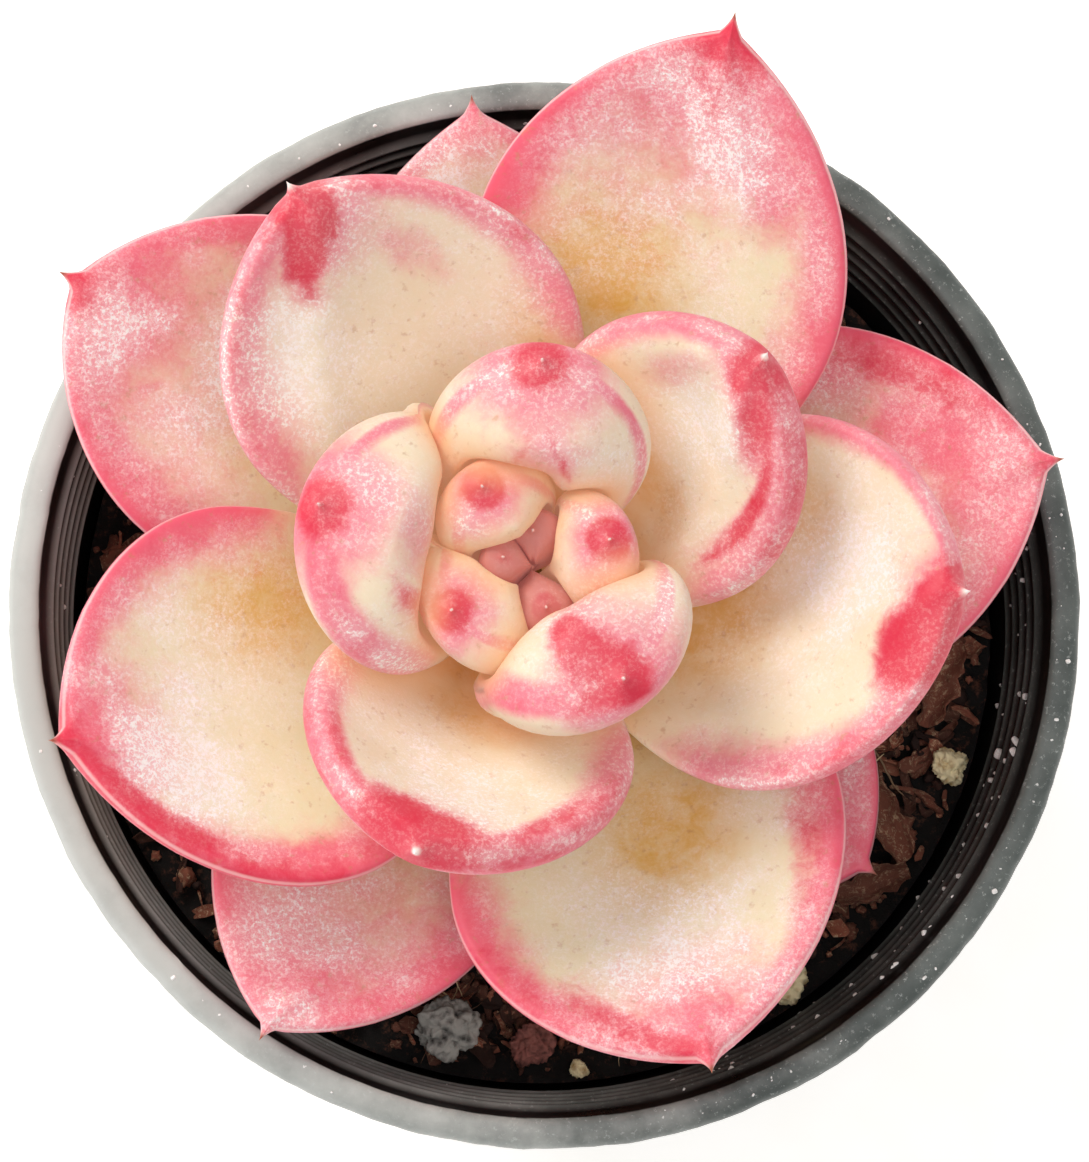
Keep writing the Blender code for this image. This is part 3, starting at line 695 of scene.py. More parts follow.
def painted(leaf, along, across, half, from_margins, from_tip, upper):
    """How pink, how crimson, how powdered and how golden the skin is at a spot: the powder carries a
    painted sheen, and the gold a painted warm shade.
    """
    left, right, tip, all_over, red_left, red_right, red_tip = BLUSH[leaf.name]
    from_left, from_right = from_margins
    grown_out = ease(0.30, 0.65, along)
    pink = max(ease(left, 0, from_left), ease(right, 0, from_right)) * grown_out
    pink = max(pink, ease(tip, 0, from_tip))
    pink = pink * (1 - all_over) + all_over * (0.3 + 0.7 * grown_out)
    red = max(
        red_left * ease(left * 0.6, 0.8, from_left) * ease(0.5, 0.75, along),
        red_right * ease(right * 0.6, 0.8, from_right) * ease(0.5, 0.75, along),
        red_tip * ease(tip * 0.4, 0.3, from_tip),
    )
    frost = 0.7 * ease(0.25, 0.6, along)
    if leaf.pale_rim:
        frost = max(frost, 1.2 * ease(1.8, 0.3, min(from_margins)) * ease(0.2, 0.5, along))
    else:
        frost *= ease(0.2, 2.5, min(from_margins))
    levels = {"pink": pink, "red": red, "frost": frost, "gold": ease(0.5, 0.15, along)}
    for kind, at_along, at_across, long, wide, turn, strength in PATCHES.get(leaf.name, ()):
        dx, dy = (across - at_across) * half, (along - at_along) * leaf.length / MM
        ct, st = math.cos(math.radians(turn)), math.sin(math.radians(turn))
        u, v = (dx * st + dy * ct) / long, (dx * ct - dy * st) / wide
        level = strength * math.exp(-(u * u + v * v) ** 1.3)
        if not upper:
            level *= ease(5.0, 0.5, min(from_margins))
        levels[kind] = max(levels[kind], level)
        if kind == "red":
            levels["pink"] = max(levels["pink"], min(1.3 * level, 1.0))
    if not upper:
        levels["frost"] *= 0.6
    return tuple(levels.values())


CREASE_REACH = 4.0 * MM
CREASE_TOUCH = 0.2 * MM
CREASE_NEIGHBOURS = 8


def lay_creases(mesh, others):
    """How deep in the creases between this leaf and the others each spot lies, kept with the mesh."""
    crease = mesh.attributes.new("crease", "FLOAT", "POINT")
    depth = []
    for vert in mesh.vertices:
        nearest = CREASE_REACH
        for tree in others:
            found = tree.find_nearest(vert.co, nearest)[3]
            if found is not None:
                nearest = min(nearest, found)
        depth.append(ease(CREASE_REACH, CREASE_TOUCH, nearest) ** 1.5)
    crease.data.foreach_set("value", depth)


def leaf_skin(name, cream, blush, crimson, gold, powder, shade, spine, flecked, painted_rim_highlight):
    """Living leaf skin: a waxy, slightly matt surface over wet flesh that light goes into, with
    watery blotches of pigment and a fine white powder that reads as grain. Painted on it are a sheen
    with the powder, a highlight along the margin, and warm shade and a glow in the hollows and creases."""
    made, tree, shader = new_material(name)
    place = add_node(tree, "TexCoord", output="Object")
    mucro, edge, crease = [
        add_node(tree, "Attribute", output="Fac", attribute_name=kept)
        for kept in ("mucro", "edge", "crease")
    ]
    paint = add_node(tree, "Attribute", output="Color", attribute_name="paint")
    pinkness, redness, powder_and_sheen_level = add_node(tree, "SeparateColor", {0: paint}).node.outputs
    gold_and_shade_mask = paint.node.outputs["Alpha"]

    # size in mm of broad clouds, ragged blotches, powder grains, curled flecks and freckles
    cloud, ragged, grain, worms, freckle = [
        add_node(tree, "TexNoise", {
            "Vector": place, "Scale": 1 / (size * MM),
            "Detail": detail, "Roughness": rough, "Distortion": bent,
        })
        for size, detail, rough, bent in (
            (8, 4.0, 0.6, 0.0), (2.4, 7.0, 0.7, 0.5), (0.34, 3.0, 0.75, 0.0), (0.9, 2.0, 0.5, 1.4),
            (0.8, 3.0, 0.6, 0.0),
        )
    ]

    # pink over cream, in watery blotches
    push = add_node(tree, "Math", {0: cloud, 1: 0.7, 2: pinkness}, operation="MULTIPLY_ADD")
    push = add_node(tree, "Math", {0: ragged, 1: 0.6, 2: push}, operation="MULTIPLY_ADD")
    pink = add_node(tree, "MapRange", {0: push, 1: 0.75, 2: 1.45}, interpolation_type="SMOOTHSTEP")
    # gold at the leaf base and in the hollows: partly the skin's own colour, partly painted warm shade
    gold_and_shade_mask = add_node(tree, "Math", {0: ragged, 1: gold_and_shade_mask}, operation="MULTIPLY")
    gold_and_shade_mask = add_node(tree, "MapRange", {0: gold_and_shade_mask, 1: 0.10, 2: 0.5})
    skin = add_node(tree, "Mix", {0: gold_and_shade_mask, 6: cream, 7: gold}, 2, data_type="RGBA")
    skin = add_node(tree, "Mix", {0: pink, 6: skin, 7: blush}, 2, data_type="RGBA")

    # tan freckles
    freckle = add_node(tree, "MapRange", {0: freckle, 1: 0.60, 2: 0.72, 4: 0.45})
    skin = add_node(tree, "Mix", {0: freckle, 6: skin, 7: "#c08a5c"}, 2, data_type="RGBA")

    # crimson with ragged edges
    push = add_node(tree, "Math", {0: ragged, 1: 1.0, 2: redness}, operation="MULTIPLY_ADD")
    red = add_node(tree, "MapRange", {0: push, 1: 0.72, 2: 1.30, 4: 0.95}, interpolation_type="SMOOTHSTEP")
    skin = add_node(tree, "Mix", {0: red, 6: skin, 7: crimson}, 2, data_type="RGBA")

    # white powder: a fine grain, and short curled flecks where it has been rubbed; in the frost
    # patches it is also a painted sheen
    dots = add_node(tree, "MapRange", {0: grain, 1: 0.48, 2: 0.62})
    fleck = add_node(tree, "Math", {0: worms, 1: 0.5}, operation="SUBTRACT")
    fleck = add_node(tree, "Math", {0: fleck}, operation="ABSOLUTE")
    fleck = add_node(tree, "MapRange", {0: fleck, 1: 0.05, 2: 0.0, 4: flecked})
    powdered = add_node(tree, "Math", {0: dots, 1: fleck}, operation="MAXIMUM")
    clumps = add_node(tree, "MapRange", {0: cloud, 1: 0.38, 2: 0.62, 3: 0.15, 4: 1.0})
    powder_and_sheen_dusting = add_node(tree, "Math", {0: powder_and_sheen_level, 1: clumps}, operation="MULTIPLY")
    rubbed = add_node(tree, "MapRange", {0: red, 3: 1.0, 4: 0.25})
    powder_and_sheen_dusting = add_node(tree, "Math", {0: powder_and_sheen_dusting, 1: rubbed}, operation="MULTIPLY")
    powdered = add_node(tree, "Math", {0: powdered, 1: powder_and_sheen_dusting}, operation="MULTIPLY")
    powder_and_sheen_haze = add_node(tree, "Math", {0: powder_and_sheen_dusting, 1: 0.38}, operation="MULTIPLY")
    powdered = add_node(
        tree, "Math", {0: powdered, 1: 0.75, 2: powder_and_sheen_haze}, operation="MULTIPLY_ADD", use_clamp=True)
    skin = add_node(tree, "Mix", {0: powdered, 6: skin, 7: powder}, 2, data_type="RGBA")

    # a painted highlight: a thin pale line where the skin turns over the margin
    line = add_node(
        tree, "MapRange", {0: edge, 1: 0.40, 2: 0.05, 4: painted_rim_highlight}, interpolation_type="SMOOTHSTEP")
    skin = add_node(tree, "Mix", {0: line, 6: skin, 7: "#fde6e2"}, 2, data_type="RGBA")

    # painted amber shade in the creases between leaves, and a painted glow there, standing in for light that
    # comes back through the flesh
    deep = add_node(tree, "Math", {0: crease, 1: 0.75}, operation="MULTIPLY")
    skin = add_node(tree, "Mix", {0: deep, 6: skin, 7: shade}, 2, data_type="RGBA")
    painted_crease_glow = add_node(tree, "Math", {0: crease, 1: 0.17}, operation="MULTIPLY")

    # the hard spine at the tip
    skin = add_node(tree, "Mix", {0: mucro, 6: skin, 7: spine}, 2, data_type="RGBA")

    height = add_node(tree, "Math", {0: powdered, 1: 0.6, 2: ragged}, operation="MULTIPLY_ADD")
    set_inputs(tree, shader, {
        "Base Color": skin, "Emission Color": skin, "Emission Strength": painted_crease_glow,
        "Roughness": add_node(tree, "MapRange", {0: powdered, 1: 0.0, 2: 0.6, 3: 0.40, 4: 0.75}),
        "Normal": add_node(tree, "Bump", {"Height": height, "Strength": 0.30, "Distance": 0.15 * MM}),
        "IOR": 1.40, "Sheen Weight": 0.10, "Sheen Roughness": 0.5,
        "Subsurface Weight": 0.30, "Subsurface Radius": (1.0, 0.45, 0.3), "Subsurface Scale": 2.0 * MM,
    })
    return made


# cream, blush, crimson, gold with painted warm shade, powder with painted sheen, painted crease shade,
# spine; then how flecked, and how strong the painted highlight along the margin
outer_skin = leaf_skin(
    "blushed_leaf_skin",
    "#ebdfbe", "#e8607a", "#dc1c45", "#dfb052", "#fff6f8", "#dfb47c", "#94503f", 0.5, 0.4,
)
heart_skin = leaf_skin(
    "heart_leaf_skin",
    "#efdfc4", "#e8748a", "#da1c42", "#e0b066", "#fff6f4", "#e0ac7c", "#fff4f0", 0.15, 0.0,
)
bud_skin = leaf_skin(
    "rosy_heart_skin",
    "#cf958a", "#c87673", "#c41c44", "#c08a70", "#ecc4c0", "#bf766c", "#f6dcd8", 0.1, 0.0,
)
# A darker copy of the leaf skin for the low leaves under the rosette: painted shade.
low_skin = leaf_skin(
    "shaded_leaf_skin",
    "#d9b48c", "#cf6f78", "#a8283e", "#c9a070", "#ecccd0", "#b07a50", "#94503f", 0.4, 0.4,
)

# The leaves grow from the heart down. Each gives way to the ones already there, and tries again
# with more room where it still touches one.
meshes = []
grown = []
for order in reversed(range(len(LEAVES))):
    leaf = Leaf(order, LEAVES[order])
    for attempt in range(1, ROOM_TRIES + 1):
        mesh, tree = leaf_mesh(leaf, grown, GAP * ROOM_STEP * attempt)
        if not any(tree.overlap(other) for other in grown):
            break
    meshes.append((leaf.name, mesh))
    grown.append(tree)

for place, (name, mesh) in enumerate(meshes):
    before = grown[max(place - CREASE_NEIGHBOURS, 0):place]
    lay_creases(mesh, before + grown[place + 1:place + 1 + CREASE_NEIGHBOURS])
    if "low" in name:
        skin, slot = low_skin, "leaf_low"
    elif "heart" in name:
        skin, slot = bud_skin, "leaf_heart"
    elif "bud" in name or "inner" in name or "mid" in name:
        skin, slot = heart_skin, "leaf_heart" if "bud" in name else "leaf_blush"
    else:
        skin, slot = outer_skin, "leaf_blush"
    stand_for(link_object(name + "_blade", mesh, skin), slot, name)


# Stem --------------------------------------------------------------------------------------------
# A short corky stem under the rosette, green-brown, ringed with the scars of fallen leaves.

STEM_SIDES = 40
STEM_RINGS = 60
STEM_BURIED = 12 * MM
SCAR_PITCH = 2.2 * MM


def stem_cork():
    """Dry cork skin: dull, ringed by leaf scars, browner in the rings."""
    made, tree, shader = new_material("corky_stem")
    place = add_node(tree, "TexCoord", output="Object")
    height = add_node(tree, "SeparateXYZ", {0: place}, "Z")
    ring = add_node(tree, "Math", {0: height, 1: 2 * math.pi / SCAR_PITCH}, operation="MULTIPLY")
    ring = add_node(tree, "Math", {0: ring}, operation="SINE")
    flaky = add_node(tree, "TexNoise", {"Vector": place, "Scale": 1 / (1.2 * MM), "Detail": 5.0})
    mixed = add_node(tree, "Math", {0: ring, 1: 0.3, 2: flaky}, operation="MULTIPLY_ADD")
    set_inputs(tree, shader, {
        "Base Color": add_node(tree, "Mix", {0: mixed, 6: "#5c4327", 7: "#b79a6a"}, 2, data_type="RGBA"),
        "Normal": add_node(tree, "Bump", {"Height": mixed, "Strength": 0.6, "Distance": 0.3 * MM}),
        "Roughness": 0.8,
    })
    return made


stem_low = SOIL_TOP - STEM_BURIED
bm = bmesh.new()
rings = []
for ring in range(STEM_RINGS + 1):
    z = stem_low + (LEAF_TOP + 0.5 * MM - stem_low) * ring / STEM_RINGS
    r = stem_radius(z) * (0.97 + 0.03 * math.sin(2 * math.pi * z / SCAR_PITCH)) * min(1, 0.5 + ring / 6)
    if ring == STEM_RINGS:
        r *= 0.2
    row = []
    for step in range(STEM_SIDES):
        turn = 2 * math.pi * step / STEM_SIDES
        row.append(bm.verts.new((STEM_AT[0] + r * math.cos(turn), STEM_AT[1] + r * math.sin(turn), z)))
    rings.append(row)
bridge(bm, rings)
bm.faces.new(list(reversed(rings[0])))
bm.faces.new(rings[-1])
stand_for(link_object("corky_stem", mesh_of(bm, "stem"), stem_cork()), "stem_skin", "stem")


# Soil --------------------------------------------------------------------------------------------
# Peat and coir with bark fines, nearly black in its gaps, partly as painted shade. It is pressed
# down under the low leaves.

SOIL_ROUGH = 1.3 * MM
SOIL_LUMPS = (9.0 * MM, 4.0 * MM)
SOIL_PRESSED = 1.0 * MM
SOIL_SUNK = 0.6 * MM   # the fine surface lies this much under the coarse bits' footing
CRUMB_WIDE = 2.4 * MM
CRUMB_HIGH = 0.9 * MM
CRUMB_CUT = 0.55       # crumbs are flat-topped above this share of their height
SOIL_RINGS = 80
SOIL_STEPS = 300
LOW_LEAVES = 9
low_leaves = grown[-LOW_LEAVES:]


def soil_height(x, y):
    """The top of the soil: lumpy, and pressed down where a low leaf reaches into it."""
    large, small = [noise.noise(Vector((x, y, apart)) / apart) for apart in SOIL_LUMPS]
    height = SOIL_TOP + SOIL_ROUGH * (large + 0.5 * small)
    below = Vector((x, y, POT_FLOOR))
    for tree in low_leaves:
        found = tree.ray_cast(below, Vector((0.0, 0.0, 1.0)), height + SOIL_PRESSED - POT_FLOOR)[0]
        if found is not None:
            height = min(height, found.z - SOIL_PRESSED)
    return height


def soil_mix():
    """Damp peat: soft, nearly black, with brown crumbs, partly their own colour and partly painted light
    where they stand up.
    """
    made, tree, shader = new_material("damp_peat")
    place = add_node(tree, "TexCoord", output="Object")
    crumb = add_node(tree, "TexNoise", {
        "Vector": place, "Scale": 1 / (1.4 * MM), "Detail": 6.0, "Roughness": 0.75,
    })
    # brown on the raised crumbs, partly painted light; nearly black between them, partly painted shade
    tone_and_painted_light = add_node(tree, "MapRange", {0: crumb, 1: 0.54, 2: 0.74})
    set_inputs(tree, shader, {
        "Base Color": add_node(tree, "Mix", {0: tone_and_painted_light, 6: "#0a0605", 7: "#7a4c3a"}, 2, data_type="RGBA"),
        "Normal": add_node(tree, "Bump", {"Height": crumb, "Strength": 0.9, "Distance": 0.5 * MM}),
        "Roughness": 0.85,
    })
    return made


edge_r = wall_inner(SOIL_TOP) - RIB_DEEP - GAP
foot_r = wall_inner(POT_FLOOR) - GAP - 0.2 * MM
bm = bmesh.new()
rings = []
for ring in range(1, SOIL_RINGS + 2):
    row = []
    for step in range(SOIL_STEPS):
        turn = 2 * math.pi * step / SOIL_STEPS
        if ring > SOIL_RINGS:
            row.append(bm.verts.new((foot_r * math.cos(turn), foot_r * math.sin(turn), POT_FLOOR + GAP)))
            continue
        r = edge_r * ring / SOIL_RINGS
        x, y = r * math.cos(turn), r * math.sin(turn)
        crumb = min(noise.fractal(Vector((x, y, 0.0)) / CRUMB_WIDE, 0.8, 2.1, 4), CRUMB_CUT)
        row.append(bm.verts.new((x, y, soil_height(x, y) - SOIL_SUNK + crumb * CRUMB_HIGH)))
    rings.append(row)
centre = bm.verts.new((0.0, 0.0, soil_height(0.0, 0.0)))
for step in range(SOIL_STEPS):
    after = (step + 1) % SOIL_STEPS
    bm.faces.new((centre, rings[0][step], rings[0][after]))
    for inner, outer in zip(rings, rings[1:]):
        bm.faces.new((inner[step], outer[step], outer[after], inner[after]))
bm.faces.new(list(reversed(rings[-1])))
stand_for(link_object("peat_soil", mesh_of(bm, "soil"), soil_mix()), "soil_mix", "soil")


# Bark, coir and grit -----------------------------------------------------------------------------
# The coarse part of the mix lies loose on the soil: curled shreds of pine bark, crumbs of the same
# bark and peat, and coconut hairs.

SHRED_COUNT, CRUMB_COUNT, HAIR_COUNT = 1500, 1500, 420
CLEAR_OF_STEM = 17 * MM   # nothing shows nearer the middle, under the rosette
HAIR_SIDES, HAIR_JOINTS = 5, 14
HAIR_WANDER = 0.175


def shard_form(cuts, flat):
    """The points and faces of a rough block, to be scaled, curled and placed many times."""
    form = bmesh.new()
    bmesh.ops.create_cube(form, size=1.0)
    bmesh.ops.subdivide_edges(form, edges=form.edges, cuts=cuts, use_grid_fill=True)
    points = np.array([vert.co[:] for vert in form.verts])
    faces = [[vert.index for vert in face.verts] for face in form.faces]
    form.free()
    round_off = 1 / np.maximum(np.linalg.norm(points, axis=1), 0.5) ** flat
    return points * round_off[:, None], faces


def turn_matrix(rng, tilt):
    """A random turn about the upright, and a random lean."""
    yaw, lean, way = rng.uniform(0, 2 * math.pi), rng.gauss(0, tilt), rng.uniform(0, 2 * math.pi)
    axis = Vector((math.cos(way), math.sin(way), 0))
    return np.array((Matrix.Rotation(lean, 3, axis) @ Matrix.Rotation(yaw, 3, "Z"))[:]).reshape(3, 3)


def gather(name, lots, faces):
    """One mesh from many placed copies of a form, each with its own tone."""
    count = len(lots[0][0])
    points = np.concatenate([lot[0] for lot in lots])
    all_faces = [[i + count * k for i in face] for k in range(len(lots)) for face in faces]
    mesh = bpy.data.meshes.new(name)
    mesh.from_pydata(points.tolist(), [], all_faces)
    tone = mesh.attributes.new("tone", "FLOAT", "POINT")
    tone.data.foreach_set("value", np.repeat([lot[1] for lot in lots], count))
    return mesh


def open_spot(rng, reach, room):
    """A random place on the soil, clear of the wall and of the leaves that lie low over it."""
    while True:
        turn = rng.uniform(0, 2 * math.pi)
        r = rng.uniform(CLEAR_OF_STEM, edge_r - reach)
        x, y = r * math.cos(turn), r * math.sin(turn)
        z = soil_height(x, y)
        start = Vector((x, y, z))
        if not any(tree.ray_cast(start, Vector((0, 0, 1)), room)[0] for tree in low_leaves):
            return x, y, z


def bark_skin():
    """Weathered pine bark: fibrous along its length, red-brown, with tan streaks along the fibre that are
    painted highlights.
    """
    made, tree, shader = new_material("pine_bark")
    place = add_node(tree, "TexCoord", output="Object")
    tone = add_node(tree, "Attribute", output="Fac", attribute_name="tone")
    fibre = add_node(tree, "TexNoise", {
        "Vector": place, "Scale": 1 / (0.7 * MM), "Detail": 7.0, "Roughness": 0.8, "Distortion": 1.5,
    })
    dark = add_node(tree, "Mix", {0: tone, 6: "#2c1610", 7: "#b26a52"}, 2, data_type="RGBA")
    # tan streaks along the fibre: painted highlights
    grey_and_tan_highlight = add_node(tree, "MapRange", {0: fibre, 1: 0.53, 2: 0.62})
    grey_and_tan_highlight = add_node(tree, "Math", {0: grey_and_tan_highlight, 1: tone}, operation="MULTIPLY")
    set_inputs(tree, shader, {
        "Base Color": add_node(tree, "Mix", {0: grey_and_tan_highlight, 6: dark, 7: "#f4d8b0"}, 2, data_type="RGBA"),
        "Normal": add_node(tree, "Bump", {"Height": fibre, "Strength": 0.8, "Distance": 0.25 * MM}),
        "Roughness": 0.72,
    })
    return made


bark = bark_skin()
rng = random.Random(7)
block, block_faces = shard_form(3, 0.6)
lots = []
for _ in range(SHRED_COUNT):
    length = rng.uniform(1.0, 4.0) * MM
    width, thick = length * rng.uniform(0.12, 0.45), rng.uniform(0.15, 0.5) * MM
    x, y, z = open_spot(rng, length * 0.55 + 0.4 * MM, 3.0 * MM)
    points = block * (length, width, thick)
    torn = Vector((x, y, length)) * 700
    points[:, 1] *= [0.8 + 0.9 * noise.noise(Vector((a * 5, 0.0, 0.0)) + torn) for a in block[:, 0]]
    points[:, 2] += [0.35 * width * noise.noise(Vector((a * 4, b * 9, 3.0)) + torn) for a, b in block[:, :2]]
    curl = rng.uniform(-0.6, 1.2) * length
    points[:, 2] += curl * block[:, 0] ** 2 + rng.uniform(0.2, 0.9) * width * 2 * block[:, 1] ** 2
    points[:, 1] += rng.uniform(-0.3, 0.3) * length * block[:, 0] ** 2
    points = points @ turn_matrix(rng, 0.6).T
    points += (x, y, z + rng.uniform(-0.2, 0.5) * MM)
    lots.append((points, rng.random() ** 1.5))
stand_for(link_object("bark_shreds", gather("bark_shreds", lots, block_faces), bark), "bark")

lots = []
for _ in range(CRUMB_COUNT):
    size = rng.uniform(0.35, 1.5) * MM
    x, y, z = open_spot(rng, size, 2.0 * MM)
    bumps = [0.75 + 0.5 * noise.noise(Vector(p) * 2.1 + Vector((x, y, 0)) * 900) for p in block]
    points = block * np.array(bumps)[:, None] * size * (1, rng.uniform(0.6, 1), rng.uniform(0.5, 0.9))
    points = points @ turn_matrix(rng, 0.8).T + (x, y, z + 0.1 * MM)
    lots.append((points, rng.random() ** 1.2))
stand_for(link_object("soil_crumbs", gather("soil_crumbs", lots, block_faces), bark), "soil_mix")


def hair(rng, start, way, length, lift, thick):
    """The points of a thin bent hair."""
    heading = Vector((math.cos(way), math.sin(way), lift)).normalized()
    at = Vector(start)
    points = []
    for joint in range(HAIR_JOINTS):
        across = heading.cross(Vector((0.13, 0.21, 1))).normalized()
        up = across.cross(heading)
        taper = thick * (1 - 0.7 * abs(2 * joint / (HAIR_JOINTS - 1) - 1) ** 3)
        for side in range(HAIR_SIDES):
            turn = 2 * math.pi * side / HAIR_SIDES
            points.append(at + (across * math.cos(turn) + up * math.sin(turn)) * taper)
        at = at + heading * length / (HAIR_JOINTS - 1)
        bend = Vector((rng.gauss(0, 1), rng.gauss(0, 1), rng.gauss(0, 0.5))) * HAIR_WANDER
        heading = (heading + bend).normalized()
    return np.array([point[:] for point in points])


def hair_faces():
    """The faces of one hair: its sides joint by joint, then both ends."""
    faces = []
    for low in range(0, (HAIR_JOINTS - 1) * HAIR_SIDES, HAIR_SIDES):
        for side in range(HAIR_SIDES):
            a, b = low + side, low + (side + 1) % HAIR_SIDES
            faces.append([a, b, b + HAIR_SIDES, a + HAIR_SIDES])
    end = range((HAIR_JOINTS - 1) * HAIR_SIDES, HAIR_JOINTS * HAIR_SIDES)
    return faces + [list(range(HAIR_SIDES))[::-1], list(end)]


def coir_fibre():
    """Coconut fibre: thin dry hairs, straw coloured to brown, a little smoother than the bark."""
    made, tree, shader = new_material("coir_fibre")
    tone = add_node(tree, "Attribute", output="Fac", attribute_name="tone")
    body = add_node(tree, "Mix", {0: tone, 6: "#6b4330", 7: "#ffe2b4"}, 2, data_type="RGBA")
    set_inputs(tree, shader, {"Base Color": body, "Roughness": 0.5})
    return made


coir = coir_fibre()
lots = []
for _ in range(HAIR_COUNT):
    length = rng.uniform(3, 8) * MM
    x, y, z = open_spot(rng, 6.5 * MM, 3.0 * MM)
    points = hair(rng, (x, y, z + rng.uniform(0.3, 1.2) * MM), rng.uniform(0, 2 * math.pi), length,
                  rng.uniform(-0.2, 0.25), rng.uniform(0.05, 0.12) * MM)
    lots.append((points, rng.random()))
stand_for(link_object("coir_hairs", gather("coir_hairs", lots, hair_faces()), coir), "bark")


# Bark chips --------------------------------------------------------------------------------------
# Six larger curled chips of the same bark that lie on the mix near the wall.

# name, shape seed, length and width in mm, turn about the upright in degrees
BARK = [
    ("bark_chip_1", 352, 7.0, 3.2, 70),
    ("bark_chip_2", 331, 8.0, 3.4, 118),
    ("bark_chip_3", 322, 6.0, 2.8, 20),
    ("bark_chip_4", 311, 6.5, 3.0, 75),
    ("bark_chip_5", 226, 6.0, 3.0, 140),
    ("bark_chip_6", 30, 6.0, 2.6, 110),
]
BARK_THICK = 1.1 * MM
BARK_CURL = (1.6 * MM, 0.6 * MM)

chip, chip_faces = shard_form(11, 0.25)
for name, seed, length, width, turn in BARK:
    low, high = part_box(name)
    middle = (low + high) / 2
    angle = math.radians(turn)
    u, v, w = chip[:, 0], chip[:, 1], chip[:, 2]
    torn = np.array([0.85 + 0.55 * noise.noise(Vector((a * 6, b * 2, seed))) for a, b in zip(u, v)])
    px, py = u * length * MM, v * width * MM * (1.0 - 0.9 * u * u - 0.5 * abs(v) * abs(u)) * torn
    pz = w * BARK_THICK * 0.7 + BARK_CURL[0] * (2 * v) ** 2 + BARK_CURL[1] * (2 * u) ** 2
    pz += [0.6 * MM * noise.noise(Vector((a * 5, b * 12, seed))) for a, b in zip(u, v)]
    points = np.stack([
        px * math.cos(angle) - py * math.sin(angle), px * math.sin(angle) + py * math.cos(angle), pz,
    ], axis=1)
    points += np.array(middle) - (points.max(0) + points.min(0)) / 2
    mesh = gather(name, [(points, 0.35 + 0.5 * (seed % 7) / 7)], chip_faces)
    stand_for(link_object(name + "_curl", mesh, bark), "bark", name)


# Stones ------------------------------------------------------------------------------------------
# Loose stones of the top dressing: cream pumice, a grey fibrous lump and a piece of red lava.

def stone(name, pale, dark, pit_size, pit_depth):
    """Porous stone: dry and matt, pitted by old gas bubbles, with painted shade darkening the pits."""
    made, tree, shader = new_material(name)
    place = add_node(tree, "TexCoord", output="Object")
    pits = add_node(tree, "TexVoronoi", {"Vector": place, "Scale": 1 / pit_size, "Randomness": 1.0})
    dusty = add_node(tree, "TexNoise", {
        "Vector": place, "Scale": 1 / (1.3 * MM), "Detail": 7.0, "Roughness": 0.75,
    })
    mixed = add_node(tree, "Math", {0: pits, 1: 0.6, 2: dusty}, operation="MULTIPLY_ADD")
    # darker in the pits, lighter between them: painted shade
    tone_and_painted_light = add_node(tree, "MapRange", {0: mixed, 1: 0.45, 2: 0.85})
    set_inputs(tree, shader, {
        "Base Color": add_node(tree, "Mix", {0: tone_and_painted_light, 6: dark, 7: pale}, 2, data_type="RGBA"),
        "Normal": add_node(tree, "Bump", {"Height": mixed, "Strength": 0.9, "Distance": pit_depth}),
        "Roughness": 0.92,
    })
    return made


pumice = stone("cream_pumice", "#fff2c6", "#b8924f", 0.7 * MM, 0.25 * MM)
grey = stone("grey_stone", "#b4b2ac", "#2c2a29", 0.9 * MM, 0.3 * MM)
lava = stone("red_lava", "#a0655c", "#2e1412", 0.8 * MM, 0.3 * MM)

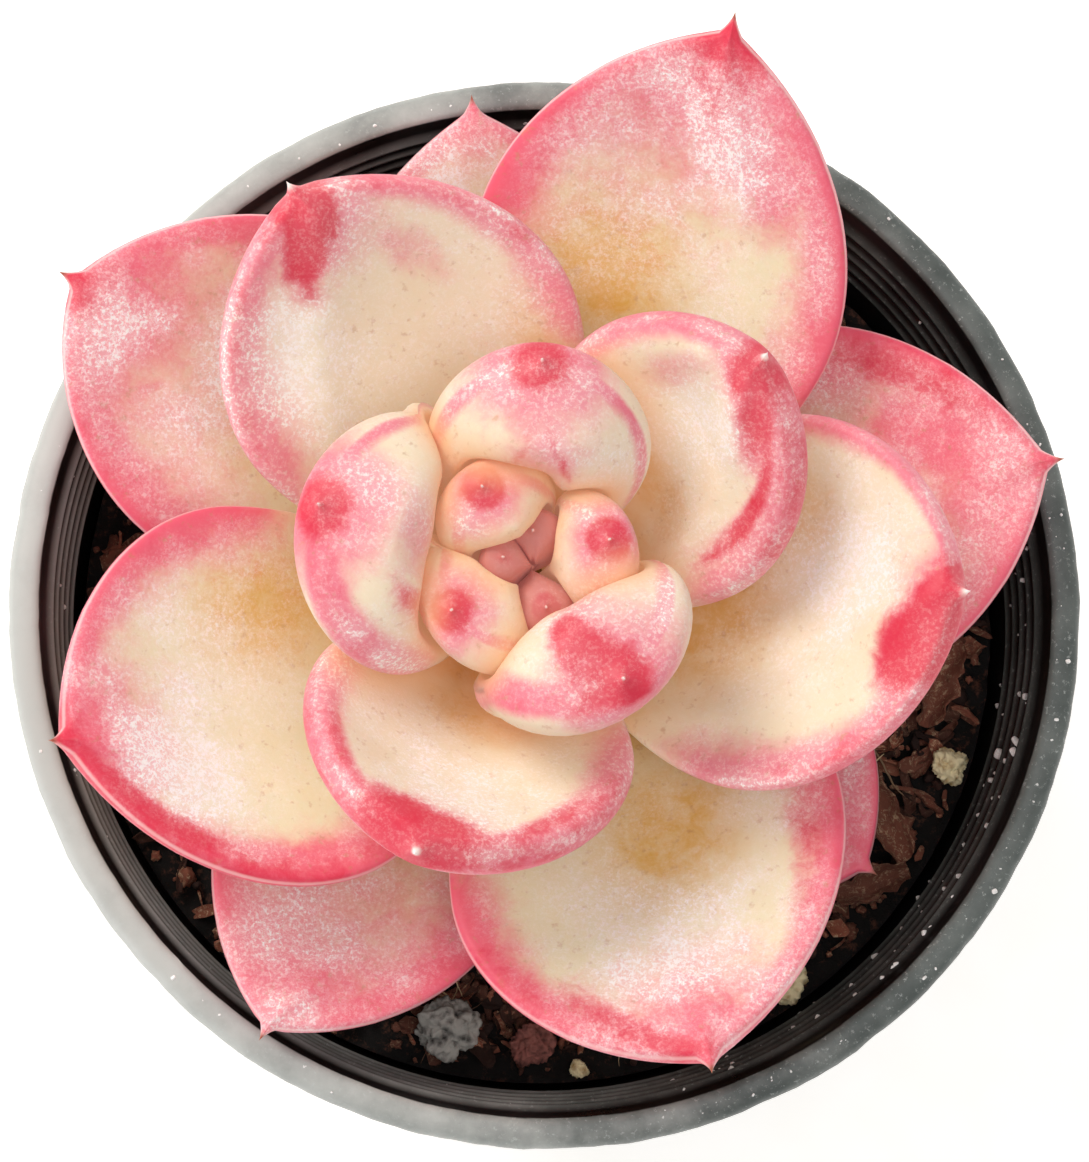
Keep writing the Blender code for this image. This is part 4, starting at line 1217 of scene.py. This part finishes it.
# name, shape seed, how knobbly, material, slot
STONES = [
    ("pumice_large", 11, 0.62, pumice, "pumice"),
    ("pumice_small", 12, 0.62, pumice, "pumice"),
    ("pumice_chip", 13, 0.40, pumice, "pumice"),
    ("grey_lump", 14, 0.75, grey, "grey_stone"),
    ("lava_lump", 15, 0.70, lava, "lava_rock"),
]
for name, seed, knobbly, finish, slot in STONES:
    low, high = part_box(name)
    bm = bmesh.new()
    bmesh.ops.create_icosphere(bm, subdivisions=5, radius=0.5)
    shift = Vector((seed, seed * 2, seed * 3))
    for vert in bm.verts:
        p = vert.co.copy()
        knobs = 0.40 * noise.noise(p * 1.8 + shift) + knobbly * 0.4 * noise.noise(p * 4 + shift)
        pits = 0.16 * noise.noise(p * 11 + shift) + 0.08 * noise.noise(p * 27 + shift)
        vert.co *= 0.9 + knobs + pits
    lows = Vector([min(v.co[k] for v in bm.verts) for k in range(3)])
    highs = Vector([max(v.co[k] for v in bm.verts) for k in range(3)])
    for vert in bm.verts:
        vert.co = Vector([
            low[k] + (vert.co[k] - lows[k]) * (high[k] - low[k]) / (highs[k] - lows[k]) for k in range(3)
        ])
    stand_for(link_object(name + "_rock", mesh_of(bm, name), finish), slot, name)


# Mineral crumbs ----------------------------------------------------------------------------------
# White crumbs of pumice and dried hard water, caught on the ribs inside the pot and on its lip.

LIME_COUNT = 190
ON_RIBS = 0.72   # share of the crumbs that sit on the ribs, the rest on the lip

lots = []
for _ in range(LIME_COUNT):
    turn = math.radians(rng.choice([rng.uniform(-75, 25), rng.uniform(0, 360)]))
    size = rng.uniform(0.12, 0.34) * MM * rng.choice([1, 1, 1, 1.9])
    if rng.random() < ON_RIBS:
        z = POT_H - LIP_H * 0.5 - RIB_PITCH * rng.randint(0, RIB_COUNT) + RIB_PITCH * 0.02
        r = wall_inner(z) - 0.10 * MM - size * 0.3
    else:
        z, r = POT_H - 0.02 * MM, rng.uniform(POT_RIM_R - 2.2 * MM, POT_RIM_R - 0.9 * MM)
        size *= 0.6
        z -= size * 0.4
    points = block * size * (1, rng.uniform(0.5, 1), rng.uniform(0.4, 0.8))
    points = points @ turn_matrix(rng, 0.7).T + (r * math.cos(turn), r * math.sin(turn), z)
    lots.append((points, rng.random()))
mesh = gather("mineral_crumbs", lots, block_faces)
lime = stone("dried_lime", "#ffffff", "#c9cccc", 0.5 * MM, 0.1 * MM)
stand_for(link_object("mineral_crumbs", mesh, lime), "pumice")
